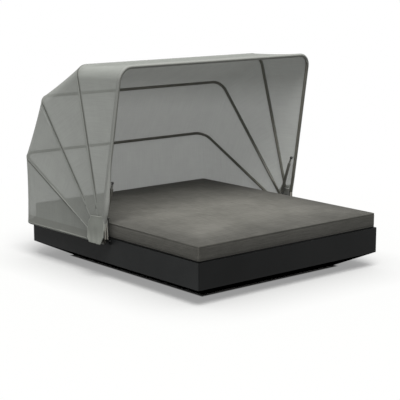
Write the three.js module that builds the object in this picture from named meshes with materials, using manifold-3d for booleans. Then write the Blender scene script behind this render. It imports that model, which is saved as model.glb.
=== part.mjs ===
// Outdoor daybed with a folding canopy
// Millimetres, +Z up, the open side faces -Y.
// The origin lies on the floor, under the middle of the base.

import * as THREE from 'three';
import { mergeVertices } from 'three/addons/utils/BufferGeometryUtils.js';
import Module from 'manifold-3d';

const wasm = await Module();
wasm.setup();

// Base shell
const baseWidth = 1750;
const baseDepth = 2000;
const baseTop = 303;
const panelBottom = 115;
const plinthInset = 210;
const shellWall = 7;
const rimWidth = 45;
const baseCornerRadius = 9;
const glideHeight = 12;
const glideRadius = 25;
const glideInset = 30;

// Deck inside the base
const ribThickness = 15;
const ribEndInset = 233;
const deckThickness = 14;
const deckEdgeGap = 2;
const slotWidth = 24;
const slotEndMargin = 70;
const slotCount = 9;
const ribCount = 4;

// Mattress
const mattressInset = 10;
const mattressThickness = 110;
const mattressCrown = 8;
const mattressDrawIn = 5;
const mattressCornerRadius = 34;
const mattressTopRound = 12;
const mattressBottomRound = 16;

// Hinge brackets beside the mattress
const bracketThickness = 5;
const bracketReach = 28;
const bracketFront = 34;
const bracketBack = 60;
const bracketBottom = 262;
const bracketTop = 460;
const bracketFootHeight = 40;
const bracketFlange = 12;
const screwRadius = 3;
const screwHeadRadius = 6;
const screwHeadHeight = 3.5;
const screwGrip = 18;
const screwHeight = 285;
const screwSpacing = 62;
const screwOffset = 12;
const screwCount = 2;

// Pivot of the hoops
const pivotY = 5;
const pivotZ = 285;
const pinRadius = 5;
const pinHeadRadius = 9;
const pinHeadLength = 7;
const washerRadius = 12;
const nutRadius = 10;
const nutLength = 13;
const nutGrip = 7;
const nutDome = 5;

// Hoops
const tubeRadius = 11;
const bendRadius = 92;
const lugThickness = 4;
const lugPitch = 7;
const lugLength = 272;
const lugEyeRadius = 14;
const lugEndWidth = 20;
const lugWeld = 8;
const firstLugGap = 2;
const frontLegExtra = 243;
const frontTilt = -9.86;
const frontOffset = 4;
const frontStandOff = 37;
const secondLegExtra = 240;
const secondTilt = 15.23;
const secondOffset = -8;
const secondStandOff = 30;
const thirdLegExtra = 233;
const thirdTilt = 39.66;
const thirdOffset = 2;
const thirdStandOff = 33;
const fourthLegExtra = 127;
const fourthTilt = 62.67;
const fourthOffset = 20;
const fourthStandOff = 39;
const hemBackReach = 40;
const hemTilt = 90;
const hemOffset = 13;
const hemStandOff = 49;

// Stays between the brackets and the front hoop
const stayFootY = 31;
const stayFootZ = 434;
const stayInset = 18;
const stayReach = 437;
const stayTubeRadius = 9;
const stayTubeStart = 8.5;
const stayTubeEnd = 215;
const stayBore = 5;
const stayBoreStart = 30;
const rodRadius = 4;
const rodStart = 96;
const stayEyeRadius = 11;
const stayEyeWidth = 14;
const studRadius = 4;
const studHeadRadius = 7.5;
const studHeadLength = 3;
const studShoulderRadius = 6.5;

// Canopy cloth
const clothThickness = 1.6;
const clothStart = 60;
const clothParting = 1.5;
const clothSagShare = 0.012;
const flapThickness = 3;
const flapBulge = 4;
const flapTopFront = 52;
const flapTopBack = 109;
const flapTopFrontHeight = 189;
const flapTopBackHeight = 173;
const flapBottomFront = 5;
const flapBottomBack = 153;
const flapBottomDrop = 16;

// Clearances
const seatGap = 0.3;
const boreGap = 0.3;
const cutOverrun = 10;

// Shares along the hoops and over the mattress
const legShares = [0, 0.25, 0.5, 0.75];
const barShares = [0.3, 0.65];
const crossShares = [0, 0.2, 0.4, 0.6, 0.8, 1];
const crownShares = [0.06, 0.16, 0.34, 0.58, 0.8];
const sideShares = [0.25, 0.5, 0.75];

// Counts
const tubeSides = 12;
const arcSteps = 6;
const cornerSteps = 4;
const ringSides = 16;
const flapSteps = 5;

// Sizes that follow from the ones above
const halfWidth = baseWidth / 2;
const halfDepth = baseDepth / 2;
const deckHalfDepth = halfDepth - rimWidth - deckEdgeGap;
const ribSpacing = 2 * (deckHalfDepth - ribEndInset) / (ribCount - 1);
const webOuter = halfWidth + bracketReach;
const webInner = webOuter - bracketThickness;
const hemPlane = webOuter + firstLugGap + lugThickness / 2;
const fourthPlane = hemPlane + lugPitch;
const thirdPlane = fourthPlane + lugPitch;
const secondPlane = thirdPlane + lugPitch;
const frontPlane = secondPlane + lugPitch;
const stayPlane = webInner - stayInset;

// The back hem runs round the base, and the legs of the other hoops are longer than its legs
const hemLegLength = halfDepth - pivotY + hemBackReach;
function hoopSizes(legExtra, tilt, offset, standOff, plane) {
  return { leg: hemLegLength + legExtra, tilt, offset, half: halfWidth + standOff, plane };
}
const hoops = {
  front: hoopSizes(frontLegExtra, frontTilt, frontOffset, frontStandOff, frontPlane),
  second: hoopSizes(secondLegExtra, secondTilt, secondOffset, secondStandOff, secondPlane),
  third: hoopSizes(thirdLegExtra, thirdTilt, thirdOffset, thirdStandOff, thirdPlane),
  fourth: hoopSizes(fourthLegExtra, fourthTilt, fourthOffset, fourthStandOff, fourthPlane),
  hem: hoopSizes(0, hemTilt, hemOffset, hemStandOff, hemPlane),
};

// Materials
function finish(color, roughness, metalness) {
  return new THREE.MeshStandardMaterial({ color, roughness, metalness });
}
const mouldedBlack = () => finish('#1d1e1e', 0.55, 0);
const deckGrey = () => finish('#4a4b4a', 0.7, 0.1);
const rubberBlack = () => finish('#151515', 0.85, 0);
const bronzePaint = () => finish('#4a4b46', 0.5, 0.3);
const zincSteel = () => finish('#8c8d8b', 0.4, 0.9);
const blackSteel = () => finish('#1b1b1b', 0.45, 0.6);
const mattressCloth = () => finish('#6f6e67', 0.9, 0);
const canopyMesh = () => finish('#8b8e87', 0.85, 0);

// Solid geometry from corners and faces, turned so that the faces look outwards
function solid(corners, faces) {
  let volume = 0;
  for (const [a, b, c] of faces) {
    volume += corners[a].dot(new THREE.Vector3().crossVectors(corners[b], corners[c]));
  }
  const index = faces.flatMap(([a, b, c]) => (volume < 0 ? [a, c, b] : [a, b, c]));
  const geometry = new THREE.BufferGeometry();
  geometry.setFromPoints(corners);
  geometry.setIndex(index);
  return geometry;
}

// Rings of equal length joined into one body, closed by a fan at each end
function loft(rings) {
  const corners = rings.flat();
  const count = rings[0].length;
  const faces = [];
  for (let r = 0; r + 1 < rings.length; r += 1) {
    for (let i = 0; i < count; i += 1) {
      const j = (i + 1) % count;
      const low = r * count;
      const high = low + count;
      faces.push([low + i, low + j, high + j], [low + i, high + j, high + i]);
    }
  }
  for (const [start, turned] of [[0, true], [(rings.length - 1) * count, false]]) {
    const centre = new THREE.Vector3();
    for (let i = 0; i < count; i += 1) {
      centre.addScaledVector(corners[start + i], 1 / count);
    }
    const hub = corners.push(centre) - 1;
    for (let i = 0; i < count; i += 1) {
      const j = (i + 1) % count;
      faces.push(turned ? [hub, start + j, start + i] : [hub, start + i, start + j]);
    }
  }
  return solid(corners, faces);
}

// A sheet with thickness, from its outer and inner grids of points
function sheet(outer, inner) {
  const rows = outer.length;
  const columns = outer[0].length;
  const corners = [...outer.flat(), ...inner.flat()];
  const half = rows * columns;
  const at = (r, c) => r * columns + c;
  const faces = [];
  const quad = (a, b, c, d) => faces.push([a, b, c], [a, c, d]);
  for (let r = 0; r + 1 < rows; r += 1) {
    for (let c = 0; c + 1 < columns; c += 1) {
      quad(at(r, c), at(r, c + 1), at(r + 1, c + 1), at(r + 1, c));
      quad(half + at(r, c), half + at(r + 1, c), half + at(r + 1, c + 1), half + at(r, c + 1));
    }
  }
  for (let r = 0; r + 1 < rows; r += 1) {
    const last = columns - 1;
    quad(at(r, 0), at(r + 1, 0), half + at(r + 1, 0), half + at(r, 0));
    quad(at(r + 1, last), at(r, last), half + at(r, last), half + at(r + 1, last));
  }
  for (let c = 0; c + 1 < columns; c += 1) {
    const last = rows - 1;
    quad(at(0, c + 1), at(0, c), half + at(0, c), half + at(0, c + 1));
    quad(at(last, c), at(last, c + 1), half + at(last, c + 1), half + at(last, c));
  }
  return solid(corners, faces);
}

// Merged copy of a geometry that keeps its positions only
function welded(geometry) {
  const bare = geometry.clone();
  bare.deleteAttribute('normal');
  bare.deleteAttribute('uv');
  return mergeVertices(bare, seatGap / 100);
}

function toManifold(geometry) {
  const bare = welded(geometry);
  const index = bare.index.array;
  return new wasm.Manifold(new wasm.Mesh({
    numProp: 3,
    vertProperties: new Float32Array(bare.attributes.position.array),
    triVerts: new Uint32Array(index),
  }));
}

function fromManifold(manifold) {
  const mesh = manifold.getMesh();
  const geometry = new THREE.BufferGeometry();
  geometry.setAttribute('position', new THREE.BufferAttribute(new Float32Array(mesh.vertProperties), 3));
  geometry.setIndex(new THREE.BufferAttribute(new Uint32Array(mesh.triVerts), 1));
  return geometry;
}

function cut(geometry, tools) {
  let result = toManifold(geometry);
  for (const tool of tools) {
    result = result.subtract(toManifold(tool));
  }
  return fromManifold(result);
}

const daybed = new THREE.Group();
daybed.name = 'daybed';

function addMesh(parent, name, geometry, material) {
  const mesh = new THREE.Mesh(geometry, material);
  mesh.name = name;
  parent.add(mesh);
  return mesh;
}

// Lathe profile of [radius, distance] pairs, turned about the X axis
function turned(profile) {
  const points = profile.map(([radius, distance]) => new THREE.Vector2(radius, distance));
  const geometry = new THREE.LatheGeometry(points, ringSides);
  geometry.rotateZ(-Math.PI / 2);
  const bare = welded(geometry);
  const place = bare.attributes.position;
  const corners = Array.from({ length: place.count }, (_, i) => new THREE.Vector3().fromBufferAttribute(place, i));
  const faces = [];
  for (let i = 0; i < bare.index.count; i += 3) {
    const face = [0, 1, 2].map((k) => bare.index.getX(i + k));
    if (new Set(face).size === 3) {
      faces.push(face);
    }
  }
  return solid(corners, faces);
}

// Same profile for the piece on the other side
function mirrored(profile) {
  return profile.map(([radius, distance]) => [radius, -distance]).reverse();
}

function turnedOn(side, profile) {
  return turned(side > 0 ? profile : mirrored(profile));
}

// Rod along X between two distances, for cutting holes
function holeTool(radius, from, to, y, z) {
  const tool = turned([[0, from], [radius, from], [radius, to], [0, to]]);
  tool.translate(0, y, z);
  return tool;
}

// Rounded rectangle at a height, with its sides drawn in by a given amount
function ring(halfX, halfY, radius, z, drawIn = 0, between = []) {
  const points = [];
  const corners = [[1, 1, 0], [-1, 1, 1], [-1, -1, 2], [1, -1, 3]];
  for (const [sx, sy, quarter] of corners) {
    for (let i = 0; i <= cornerSteps; i += 1) {
      const angle = (quarter + i / cornerSteps) * Math.PI / 2;
      const x = sx * (halfX - radius) + radius * Math.cos(angle);
      const y = sy * (halfY - radius) + radius * Math.sin(angle);
      points.push(new THREE.Vector3(x, y, z));
    }
    const next = corners[(quarter + 1) % corners.length];
    const from = points[points.length - 1];
    const startAngle = (next[2] || corners.length) * Math.PI / 2;
    const toX = next[0] * (halfX - radius) + radius * Math.cos(startAngle);
    const toY = next[1] * (halfY - radius) + radius * Math.sin(startAngle);
    for (const share of between) {
      const pull = drawIn * 4 * share * (1 - share);
      const x = from.x + (toX - from.x) * share;
      const y = from.y + (toY - from.y) * share;
      const onSide = quarter % 2 === 1;
      points.push(new THREE.Vector3(onSide ? x - Math.sign(x) * pull : x, onSide ? y : y - Math.sign(y) * pull, z));
    }
  }
  return points;
}

// Inner section of the base: knee height and floor edge for a wall of the given thickness
function innerSection(wall) {
  const slopeRun = plinthInset;
  const slopeRise = panelBottom - glideHeight;
  const slopeLength = Math.hypot(slopeRun, slopeRise);
  const kneeZ = panelBottom + wall * (slopeLength - slopeRise) / slopeRun;
  const floorZ = glideHeight + wall;
  const floorInset = wall + (kneeZ - floorZ) * slopeRun / slopeRise;
  return { kneeZ, floorZ, floorInset };
}

function makeShell() {
  const inner = innerSection(shellWall);
  const flangeZ = baseTop - shellWall;
  const rings = [
    ring(halfWidth - plinthInset, halfDepth - plinthInset, baseCornerRadius, glideHeight),
    ring(halfWidth, halfDepth, baseCornerRadius, panelBottom),
    ring(halfWidth, halfDepth, baseCornerRadius, baseTop),
    ring(halfWidth - rimWidth, halfDepth - rimWidth, baseCornerRadius, baseTop),
    ring(halfWidth - rimWidth, halfDepth - rimWidth, baseCornerRadius, flangeZ),
    ring(halfWidth - shellWall, halfDepth - shellWall, baseCornerRadius, flangeZ),
    ring(halfWidth - shellWall, halfDepth - shellWall, baseCornerRadius, inner.kneeZ),
    ring(halfWidth - inner.floorInset, halfDepth - inner.floorInset, baseCornerRadius, inner.floorZ),
  ];
  const tools = [];
  for (const side of [1, -1]) {
    for (const y of screwPlaces()) {
      const from = side * (halfWidth - shellWall) - cutOverrun;
      const to = side * halfWidth + cutOverrun;
      tools.push(holeTool(screwRadius + boreGap, Math.min(from, to), Math.max(from, to), y, screwHeight));
    }
  }
  addMesh(daybed, 'base_shell', cut(loft(rings), tools), mouldedBlack());
}

function makeRibs() {
  const section = innerSection(shellWall + seatGap);
  const top = baseTop - deckThickness - seatGap;
  const flange = baseTop - shellWall - seatGap;
  const wide = halfWidth - shellWall - seatGap;
  const floor = halfWidth - section.floorInset;
  const outline = new THREE.Shape([
    new THREE.Vector2(-floor, section.floorZ),
    new THREE.Vector2(floor, section.floorZ),
    new THREE.Vector2(wide, section.kneeZ),
    new THREE.Vector2(wide, Math.min(top, flange)),
    new THREE.Vector2(-wide, Math.min(top, flange)),
    new THREE.Vector2(-wide, section.kneeZ),
  ]);
  for (let i = 0; i < ribCount; i += 1) {
    const geometry = new THREE.ExtrudeGeometry(outline, { depth: ribThickness, bevelEnabled: false });
    const rib = addMesh(daybed, `deck_rib_${i + 1}`, geometry, deckGrey());
    rib.rotation.x = Math.PI / 2;
    rib.position.y = (i - (ribCount - 1) / 2) * ribSpacing + ribThickness / 2;
  }
}

// One deck board with long air slots
function makeDeck() {
  const width = 2 * (halfWidth - rimWidth - deckEdgeGap);
  const depth = 2 * deckHalfDepth;
  const pitch = width / (slotCount + 1);
  const slots = [];
  for (let i = 0; i < slotCount; i += 1) {
    const slot = new THREE.BoxGeometry(slotWidth, depth - 2 * slotEndMargin, deckThickness + cutOverrun);
    slot.translate((i - (slotCount - 1) / 2) * pitch, 0, 0);
    slots.push(slot);
  }
  const faces = [-1, 1].map((end) => ring(width / 2, depth / 2, baseCornerRadius, end * deckThickness / 2));
  const board = cut(loft(faces), slots);
  addMesh(daybed, 'deck_board', board, deckGrey()).position.z = baseTop - deckThickness / 2;
}

function makeGlides() {
  const reachX = halfWidth - plinthInset - glideInset;
  const reachY = halfDepth - plinthInset - glideInset;
  const height = glideHeight - seatGap;
  const rows = [['front', -1], ['middle', 0], ['back', 1]];
  const columns = [['left', -1], ['centre', 0], ['right', 1]];
  for (const [rowName, row] of rows) {
    for (const [columnName, column] of columns) {
      const geometry = new THREE.CylinderGeometry(glideRadius, glideRadius, height, ringSides);
      const glide = addMesh(daybed, `glide_${rowName}_${columnName}`, geometry, rubberBlack());
      glide.rotation.x = Math.PI / 2;
      glide.position.set(column * reachX, row * reachY, height / 2);
    }
  }
}

// Crowned cushion with drawn-in sides, flat underneath
function makeMattress() {
  const x = halfWidth - mattressInset;
  const y = halfDepth - mattressInset;
  const bottom = baseTop + seatGap;
  const top = bottom + mattressThickness;
  const flatTop = top - mattressTopRound;
  const lowSide = bottom + mattressBottomRound;
  const middle = (flatTop + lowSide) / 2;
  const rings = [];
  const layer = (inset, z, drawIn) => {
    const radius = Math.max(mattressCornerRadius - inset / 2, mattressTopRound);
    rings.push(ring(x - inset, y - inset, radius, z, drawIn, sideShares));
  };
  const roundSteps = 3;
  for (let i = 0; i <= roundSteps; i += 1) {
    const angle = i / roundSteps * Math.PI / 2;
    const inset = mattressBottomRound * (1 - Math.sin(angle));
    layer(inset, lowSide - mattressBottomRound * Math.cos(angle), mattressDrawIn / 2);
  }
  layer(0, middle, mattressDrawIn);
  for (let i = 0; i <= roundSteps; i += 1) {
    const angle = i / roundSteps * Math.PI / 2;
    const inset = mattressTopRound * (1 - Math.cos(angle));
    layer(inset, flatTop + mattressTopRound * Math.sin(angle), mattressDrawIn / 2);
  }
  for (const share of crownShares) {
    const inset = mattressTopRound + (Math.min(x, y) - mattressTopRound) * share;
    const rise = mattressCrown * Math.sin(Math.min(share * 2, 1) * Math.PI / 2);
    const radius = mattressCornerRadius;
    const drawIn = mattressDrawIn / 2 * (1 - share);
    rings.push(ring(x - inset, y - inset, radius, top + rise, drawIn, sideShares));
  }
  addMesh(daybed, 'mattress', loft(rings), mattressCloth());
}

function screwPlaces() {
  const steps = Array.from({ length: screwCount }, (_, i) => i - (screwCount - 1) / 2);
  return steps.map((step) => screwOffset + step * screwSpacing);
}

// Folded steel channel, its foot screwed to the side of the base
function makeBracket(side, name) {
  const footInner = halfWidth + seatGap;
  const footOuter = footInner + bracketThickness;
  const flangeEdge = webOuter - bracketFlange;
  const sheetTop = bracketTop - bracketThickness;
  const sheetBottom = bracketBottom + bracketThickness;
  const profile = [
    [footInner, bracketBottom],
    [webOuter, bracketBottom],
    [webOuter, bracketTop],
    [flangeEdge, bracketTop],
    [flangeEdge, sheetTop],
    [webInner, sheetTop],
    [webInner, sheetBottom],
    [footOuter, sheetBottom],
    [footOuter, bracketBottom + bracketFootHeight],
    [footInner, bracketBottom + bracketFootHeight],
  ];
  const shape = new THREE.Shape(profile.map(([x, z]) => new THREE.Vector2(side * x, z)));
  const geometry = new THREE.ExtrudeGeometry(shape, { depth: bracketFront + bracketBack, bevelEnabled: false });
  geometry.rotateX(Math.PI / 2);
  geometry.translate(0, bracketBack, 0);
  const near = side * (webInner - cutOverrun / 2);
  const far = side * (webOuter + cutOverrun / 2);
  const web = [Math.min(near, far), Math.max(near, far)];
  const footNear = side * (footInner - cutOverrun / 2);
  const footFar = side * (footOuter + cutOverrun / 2);
  const foot = [Math.min(footNear, footFar), Math.max(footNear, footFar)];
  const tools = [
    holeTool(pinRadius + boreGap, ...web, pivotY, pivotZ),
    holeTool(studRadius + boreGap, ...web, stayFootY, stayFootZ),
    ...screwPlaces().map((y) => holeTool(screwRadius + boreGap, ...foot, y, screwHeight)),
  ];
  addMesh(daybed, name, cut(geometry, tools), zincSteel());
}

function makeScrews() {
  const seat = halfWidth + seatGap + bracketThickness + seatGap;
  for (const [side, letter] of [[1, 'right'], [-1, 'left']]) {
    screwPlaces().forEach((y, i) => {
      const screw = turnedOn(side, [
        [0, seat - screwGrip],
        [screwRadius, seat - screwGrip],
        [screwRadius, seat],
        [screwHeadRadius, seat],
        [screwHeadRadius * 0.8, seat + screwHeadHeight],
        [0, seat + screwHeadHeight],
      ]);
      const mesh = addMesh(daybed, `bracket_screw_${letter}_${i + 1}`, screw, blackSteel());
      mesh.position.set(0, y, screwHeight);
    });
  }
}

// Pin, washers and cap nut that carry all the lugs of one side
function makePivot(side, letter) {
  const headSeat = webInner - seatGap;
  const nutSeat = frontPlane + lugThickness / 2 + seatGap;
  const pin = turnedOn(side, [
    [0, headSeat - pinHeadLength],
    [pinHeadRadius, headSeat - pinHeadLength],
    [pinHeadRadius, headSeat],
    [pinRadius, headSeat],
    [pinRadius, nutSeat + nutGrip - seatGap],
    [0, nutSeat + nutGrip - seatGap],
  ]);
  addMesh(daybed, `pivot_pin_${letter}`, pin, zincSteel()).position.set(0, pivotY, pivotZ);
  const nut = turnedOn(side, [
    [pinRadius + boreGap, nutSeat],
    [nutRadius, nutSeat],
    [nutRadius, nutSeat + nutLength - nutDome],
    [nutRadius * 0.6, nutSeat + nutLength],
    [0, nutSeat + nutLength],
    [0, nutSeat + nutGrip],
    [pinRadius + boreGap, nutSeat + nutGrip],
    [pinRadius + boreGap, nutSeat],
  ]);
  addMesh(daybed, `pivot_nut_${letter}`, nut, zincSteel()).position.set(0, pivotY, pivotZ);
  const planes = [hemPlane, fourthPlane, thirdPlane, secondPlane, frontPlane];
  planes.forEach((plane, i) => {
    const from = (i === 0 ? webOuter : planes[i - 1] + lugThickness / 2) + seatGap;
    const to = plane - lugThickness / 2 - seatGap;
    const washer = turnedOn(side, [
      [pinRadius + boreGap, from],
      [washerRadius, from],
      [washerRadius, to],
      [pinRadius + boreGap, to],
      [pinRadius + boreGap, from],
    ]);
    const mesh = addMesh(daybed, `pivot_washer_${letter}_${i + 1}`, washer, rubberBlack());
    mesh.position.set(0, pivotY, pivotZ);
  });
}

// Frame of a hoop: along its leg, behind it, and across towards -X
function hoopMatrix(hoop) {
  const tilt = THREE.MathUtils.degToRad(hoop.tilt);
  const along = new THREE.Vector3(0, Math.sin(tilt), Math.cos(tilt));
  const behind = new THREE.Vector3(0, Math.cos(tilt), -Math.sin(tilt));
  const across = new THREE.Vector3(-1, 0, 0);
  return new THREE.Matrix4().makeBasis(along, behind, across).setPosition(0, pivotY, pivotZ);
}

// Stations of one half of a hoop in its own plane, each with its outward direction
function halfStations(hoop, legStart, shares, topShares) {
  const corner = new THREE.Vector2(hoop.half, hoop.leg);
  const foot = new THREE.Vector2(hoop.plane, lugLength);
  const legDirection = corner.clone().sub(foot).normalize();
  const legNormal = new THREE.Vector2(legDirection.y, -legDirection.x);
  const turn = Math.acos(-legDirection.x);
  const setBack = bendRadius * Math.tan(turn / 2);
  const arcStart = corner.clone().addScaledVector(legDirection, -setBack);
  const centre = arcStart.clone().addScaledVector(legNormal, -bendRadius);
  const stations = [];
  if (legStart < lugLength) {
    stations.push({ x: hoop.plane, along: legStart, out: legNormal });
  }
  for (const share of shares) {
    const place = foot.clone().lerp(arcStart, share);
    stations.push({ x: place.x, along: place.y, out: legNormal });
  }
  const startAngle = Math.atan2(legNormal.y, legNormal.x);
  for (let i = 0; i <= arcSteps; i += 1) {
    const angle = startAngle + (Math.PI / 2 - startAngle) * i / arcSteps;
    const out = new THREE.Vector2(Math.cos(angle), Math.sin(angle));
    stations.push({ x: centre.x + out.x * bendRadius, along: centre.y + out.y * bendRadius, out });
  }
  const arcEnd = stations[stations.length - 1];
  for (const share of topShares) {
    stations.push({ x: arcEnd.x * (1 - share), along: arcEnd.along, out: arcEnd.out });
  }
  return stations;
}

// Whole hoop from its right end to its left end
function hoopStations(hoop, legStart, shares, topShares) {
  const right = halfStations(hoop, legStart, shares, topShares);
  const left = right.map(({ x, along, out }) => ({ x: -x, along, out: new THREE.Vector2(-out.x, out.y) })).reverse();
  return [...right, ...left];
}

// Curve whose spaced points are given stations, with no change of spacing
class StationCurve extends THREE.Curve {
  constructor(points) {
    super();
    this.points = points;
  }

  getPoint(t, target = new THREE.Vector3()) {
    const place = THREE.MathUtils.clamp(t, 0, 1) * (this.points.length - 1);
    const i = Math.min(Math.floor(place), this.points.length - 2);
    return target.lerpVectors(this.points[i], this.points[i + 1], place - i);
  }

  getPointAt(u, target) {
    return this.getPoint(u, target);
  }

  getTangentAt(u, target = new THREE.Vector3()) {
    const i = Math.round(u * (this.points.length - 1));
    const before = this.points[i].clone().sub(this.points[Math.max(i - 1, 0)]).normalize();
    const after = this.points[Math.min(i + 1, this.points.length - 1)].clone().sub(this.points[i]).normalize();
    return target.copy(before).add(after).normalize();
  }
}

function roundSection(radius) {
  const points = [];
  for (let i = 0; i < tubeSides; i += 1) {
    const angle = i / tubeSides * 2 * Math.PI;
    points.push(new THREE.Vector2(radius * Math.cos(angle), radius * Math.sin(angle)));
  }
  return new THREE.Shape(points);
}

function tubeAlong(points, radius) {
  const path = new StationCurve(points);
  return new THREE.ExtrudeGeometry(roundSection(radius), {
    steps: points.length - 1,
    bevelEnabled: false,
    extrudePath: path,
  });
}

// Flat lug with the pivot eye at its foot
function makeLug(hoop, side) {
  const shape = new THREE.Shape();
  shape.moveTo(lugLength + lugWeld, hoop.offset - lugEndWidth / 2);
  shape.lineTo(lugLength + lugWeld, hoop.offset + lugEndWidth / 2);
  shape.lineTo(0, lugEyeRadius);
  shape.absarc(0, 0, lugEyeRadius, Math.PI / 2, 3 * Math.PI / 2, false);
  const hole = new THREE.Path();
  hole.absarc(0, 0, pinRadius + boreGap, 0, 2 * Math.PI, true);
  shape.holes.push(hole);
  const geometry = new THREE.ExtrudeGeometry(shape, {
    depth: lugThickness,
    bevelEnabled: false,
    curveSegments: ringSides / 2,
  });
  geometry.translate(0, 0, -side * hoop.plane - lugThickness / 2);
  return geometry;
}

function makeHoop(hoop, name) {
  const group = new THREE.Group();
  hoopMatrix(hoop).decompose(group.position, group.quaternion, group.scale);
  daybed.add(group);
  const stations = hoopStations(hoop, lugLength, [0], []);
  const points = stations.map(({ x, along }) => new THREE.Vector3(along, hoop.offset, -x));
  let frame = toManifold(tubeAlong(points, tubeRadius));
  for (const side of [1, -1]) {
    frame = frame.add(toManifold(makeLug(hoop, side)));
  }
  addMesh(group, name, fromManifold(frame), bronzePaint());
  return group;
}

// Foot and head of a stay, both in the plane where the stay turns
function stayEnds() {
  const foot = new THREE.Vector2(stayFootY, stayFootZ);
  const top = new THREE.Vector3(stayReach, frontOffset, 0).applyMatrix4(hoopMatrix(hoops.front));
  const head = new THREE.Vector2(top.y, top.z);
  return { foot, head, length: head.distanceTo(foot), angle: Math.atan2(head.x - foot.x, head.y - foot.y) };
}

// Group whose local Z runs from the foot of a stay to its head
function stayGroup(side) {
  const { foot, angle } = stayEnds();
  const group = new THREE.Group();
  group.position.set(side * stayPlane, foot.x, foot.y);
  group.rotation.x = -angle;
  daybed.add(group);
  return group;
}

function barAlongZ(radius, from, to) {
  const bar = new THREE.CylinderGeometry(radius, radius, to - from, ringSides);
  bar.rotateX(Math.PI / 2);
  bar.translate(0, 0, (from + to) / 2);
  return bar;
}

function discAlongX(radius, width) {
  const disc = new THREE.CylinderGeometry(radius, radius, width, ringSides);
  disc.rotateZ(Math.PI / 2);
  return disc;
}

function makeStay(side, letter) {
  const { length } = stayEnds();
  const group = stayGroup(side);
  const eye = discAlongX(stayEyeRadius, stayEyeWidth);
  const body = toManifold(barAlongZ(stayTubeRadius, stayTubeStart, stayTubeEnd)).add(toManifold(eye));
  const eyeHole = discAlongX(studRadius + boreGap, stayEyeWidth + cutOverrun);
  const bore = barAlongZ(stayBore, stayBoreStart, stayTubeEnd + cutOverrun);
  const tube = fromManifold(body.subtract(toManifold(eyeHole)).subtract(toManifold(bore)));
  addMesh(group, `stay_cylinder_${letter}`, tube, bronzePaint());
  const rod = toManifold(barAlongZ(rodRadius, rodStart, length)).add(toManifold(endKnob(length)));
  addMesh(group, `stay_rod_${letter}`, fromManifold(rod), zincSteel());
}

function endKnob(length) {
  const knob = discAlongX(stayEyeRadius, stayEyeWidth);
  knob.translate(0, 0, length);
  return knob;
}

// Riveted stud on which the foot of a stay turns
function makeFootStud(side, letter) {
  const eyeInner = stayPlane - stayEyeWidth / 2 - seatGap;
  const eyeOuter = stayPlane + stayEyeWidth / 2 + seatGap;
  const stud = turnedOn(side, [
    [0, eyeInner - studHeadLength],
    [studHeadRadius, eyeInner - studHeadLength],
    [studHeadRadius, eyeInner],
    [studRadius, eyeInner],
    [studRadius, eyeOuter],
    [studShoulderRadius, eyeOuter],
    [studShoulderRadius, webInner - seatGap],
    [studRadius, webInner - seatGap],
    [studRadius, webOuter + firstLugGap / 2],
    [0, webOuter + firstLugGap / 2],
  ]);
  addMesh(daybed, `stay_foot_stud_${letter}`, stud, zincSteel()).position.set(0, stayFootY, stayFootZ);
}

// Stud on the front hoop that the head of a stay bears on
function makeHeadStud(group, side, letter) {
  const corner = new THREE.Vector2(hoops.front.half, hoops.front.leg);
  const lean = (stayReach - lugLength) / (corner.y - lugLength);
  const legX = frontPlane + (corner.x - frontPlane) * lean;
  const from = stayPlane + stayEyeWidth / 2 + seatGap;
  const to = legX - tubeRadius - seatGap;
  const stud = discAlongX(studRadius, to - from);
  stud.rotateY(Math.PI / 2);
  const mesh = addMesh(group, `stay_head_stud_${letter}`, stud, zincSteel());
  mesh.position.set(stayReach, frontOffset, -side * (from + to) / 2);
}

// Point over a hoop's centre line, at a height above it
function overHoop(hoop, station, height) {
  const x = station.x + station.out.x * height;
  const along = station.along + station.out.y * height;
  return new THREE.Vector3(along, hoop.offset, -x).applyMatrix4(hoopMatrix(hoop));
}

// Height at which the inner face of the cloth just clears the tube as it leaves the hoop
function clothHeight(out, leaving) {
  const slope = Math.asin(THREE.MathUtils.clamp(-out.dot(leaving), 0, 1)) + Math.atan(4 * clothSagShare);
  return (tubeRadius + seatGap) / Math.cos(slope) + clothThickness;
}

// One bay of cloth between two hoops, sagging a little towards the inside
function makeBay(fore, aft, name) {
  const foreStations = hoopStations(fore, clothStart, legShares, barShares);
  const aftStations = hoopStations(aft, clothStart, legShares, barShares);
  const outer = [];
  const inner = [];
  foreStations.forEach((foreStation, i) => {
    const foreCentre = overHoop(fore, foreStation, 0);
    const aftCentre = overHoop(aft, aftStations[i], 0);
    const foreOut = overHoop(fore, foreStation, 1).sub(foreCentre);
    const aftOut = overHoop(aft, aftStations[i], 1).sub(aftCentre);
    const leaving = aftCentre.clone().sub(foreCentre).normalize();
    const foreHeight = clothHeight(foreOut, leaving);
    const aftHeight = clothHeight(aftOut, leaving.clone().negate());
    const inward = foreOut.clone().add(aftOut).normalize().negate();
    const row = (lift) => {
      const a = foreCentre.clone().addScaledVector(foreOut, foreHeight - lift);
      const b = aftCentre.clone().addScaledVector(aftOut, aftHeight - lift);
      const chord = a.distanceTo(b);
      const edge = clothParting / chord;
      return crossShares.map((share) => {
        const sag = clothSagShare * chord * 4 * share * (1 - share);
        return a.clone().lerp(b, edge + share * (1 - 2 * edge)).addScaledVector(inward, sag);
      });
    };
    outer.push(row(0));
    inner.push(row(clothThickness));
  });
  addMesh(daybed, name, sheet(outer, inner), canopyMesh());
}

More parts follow.
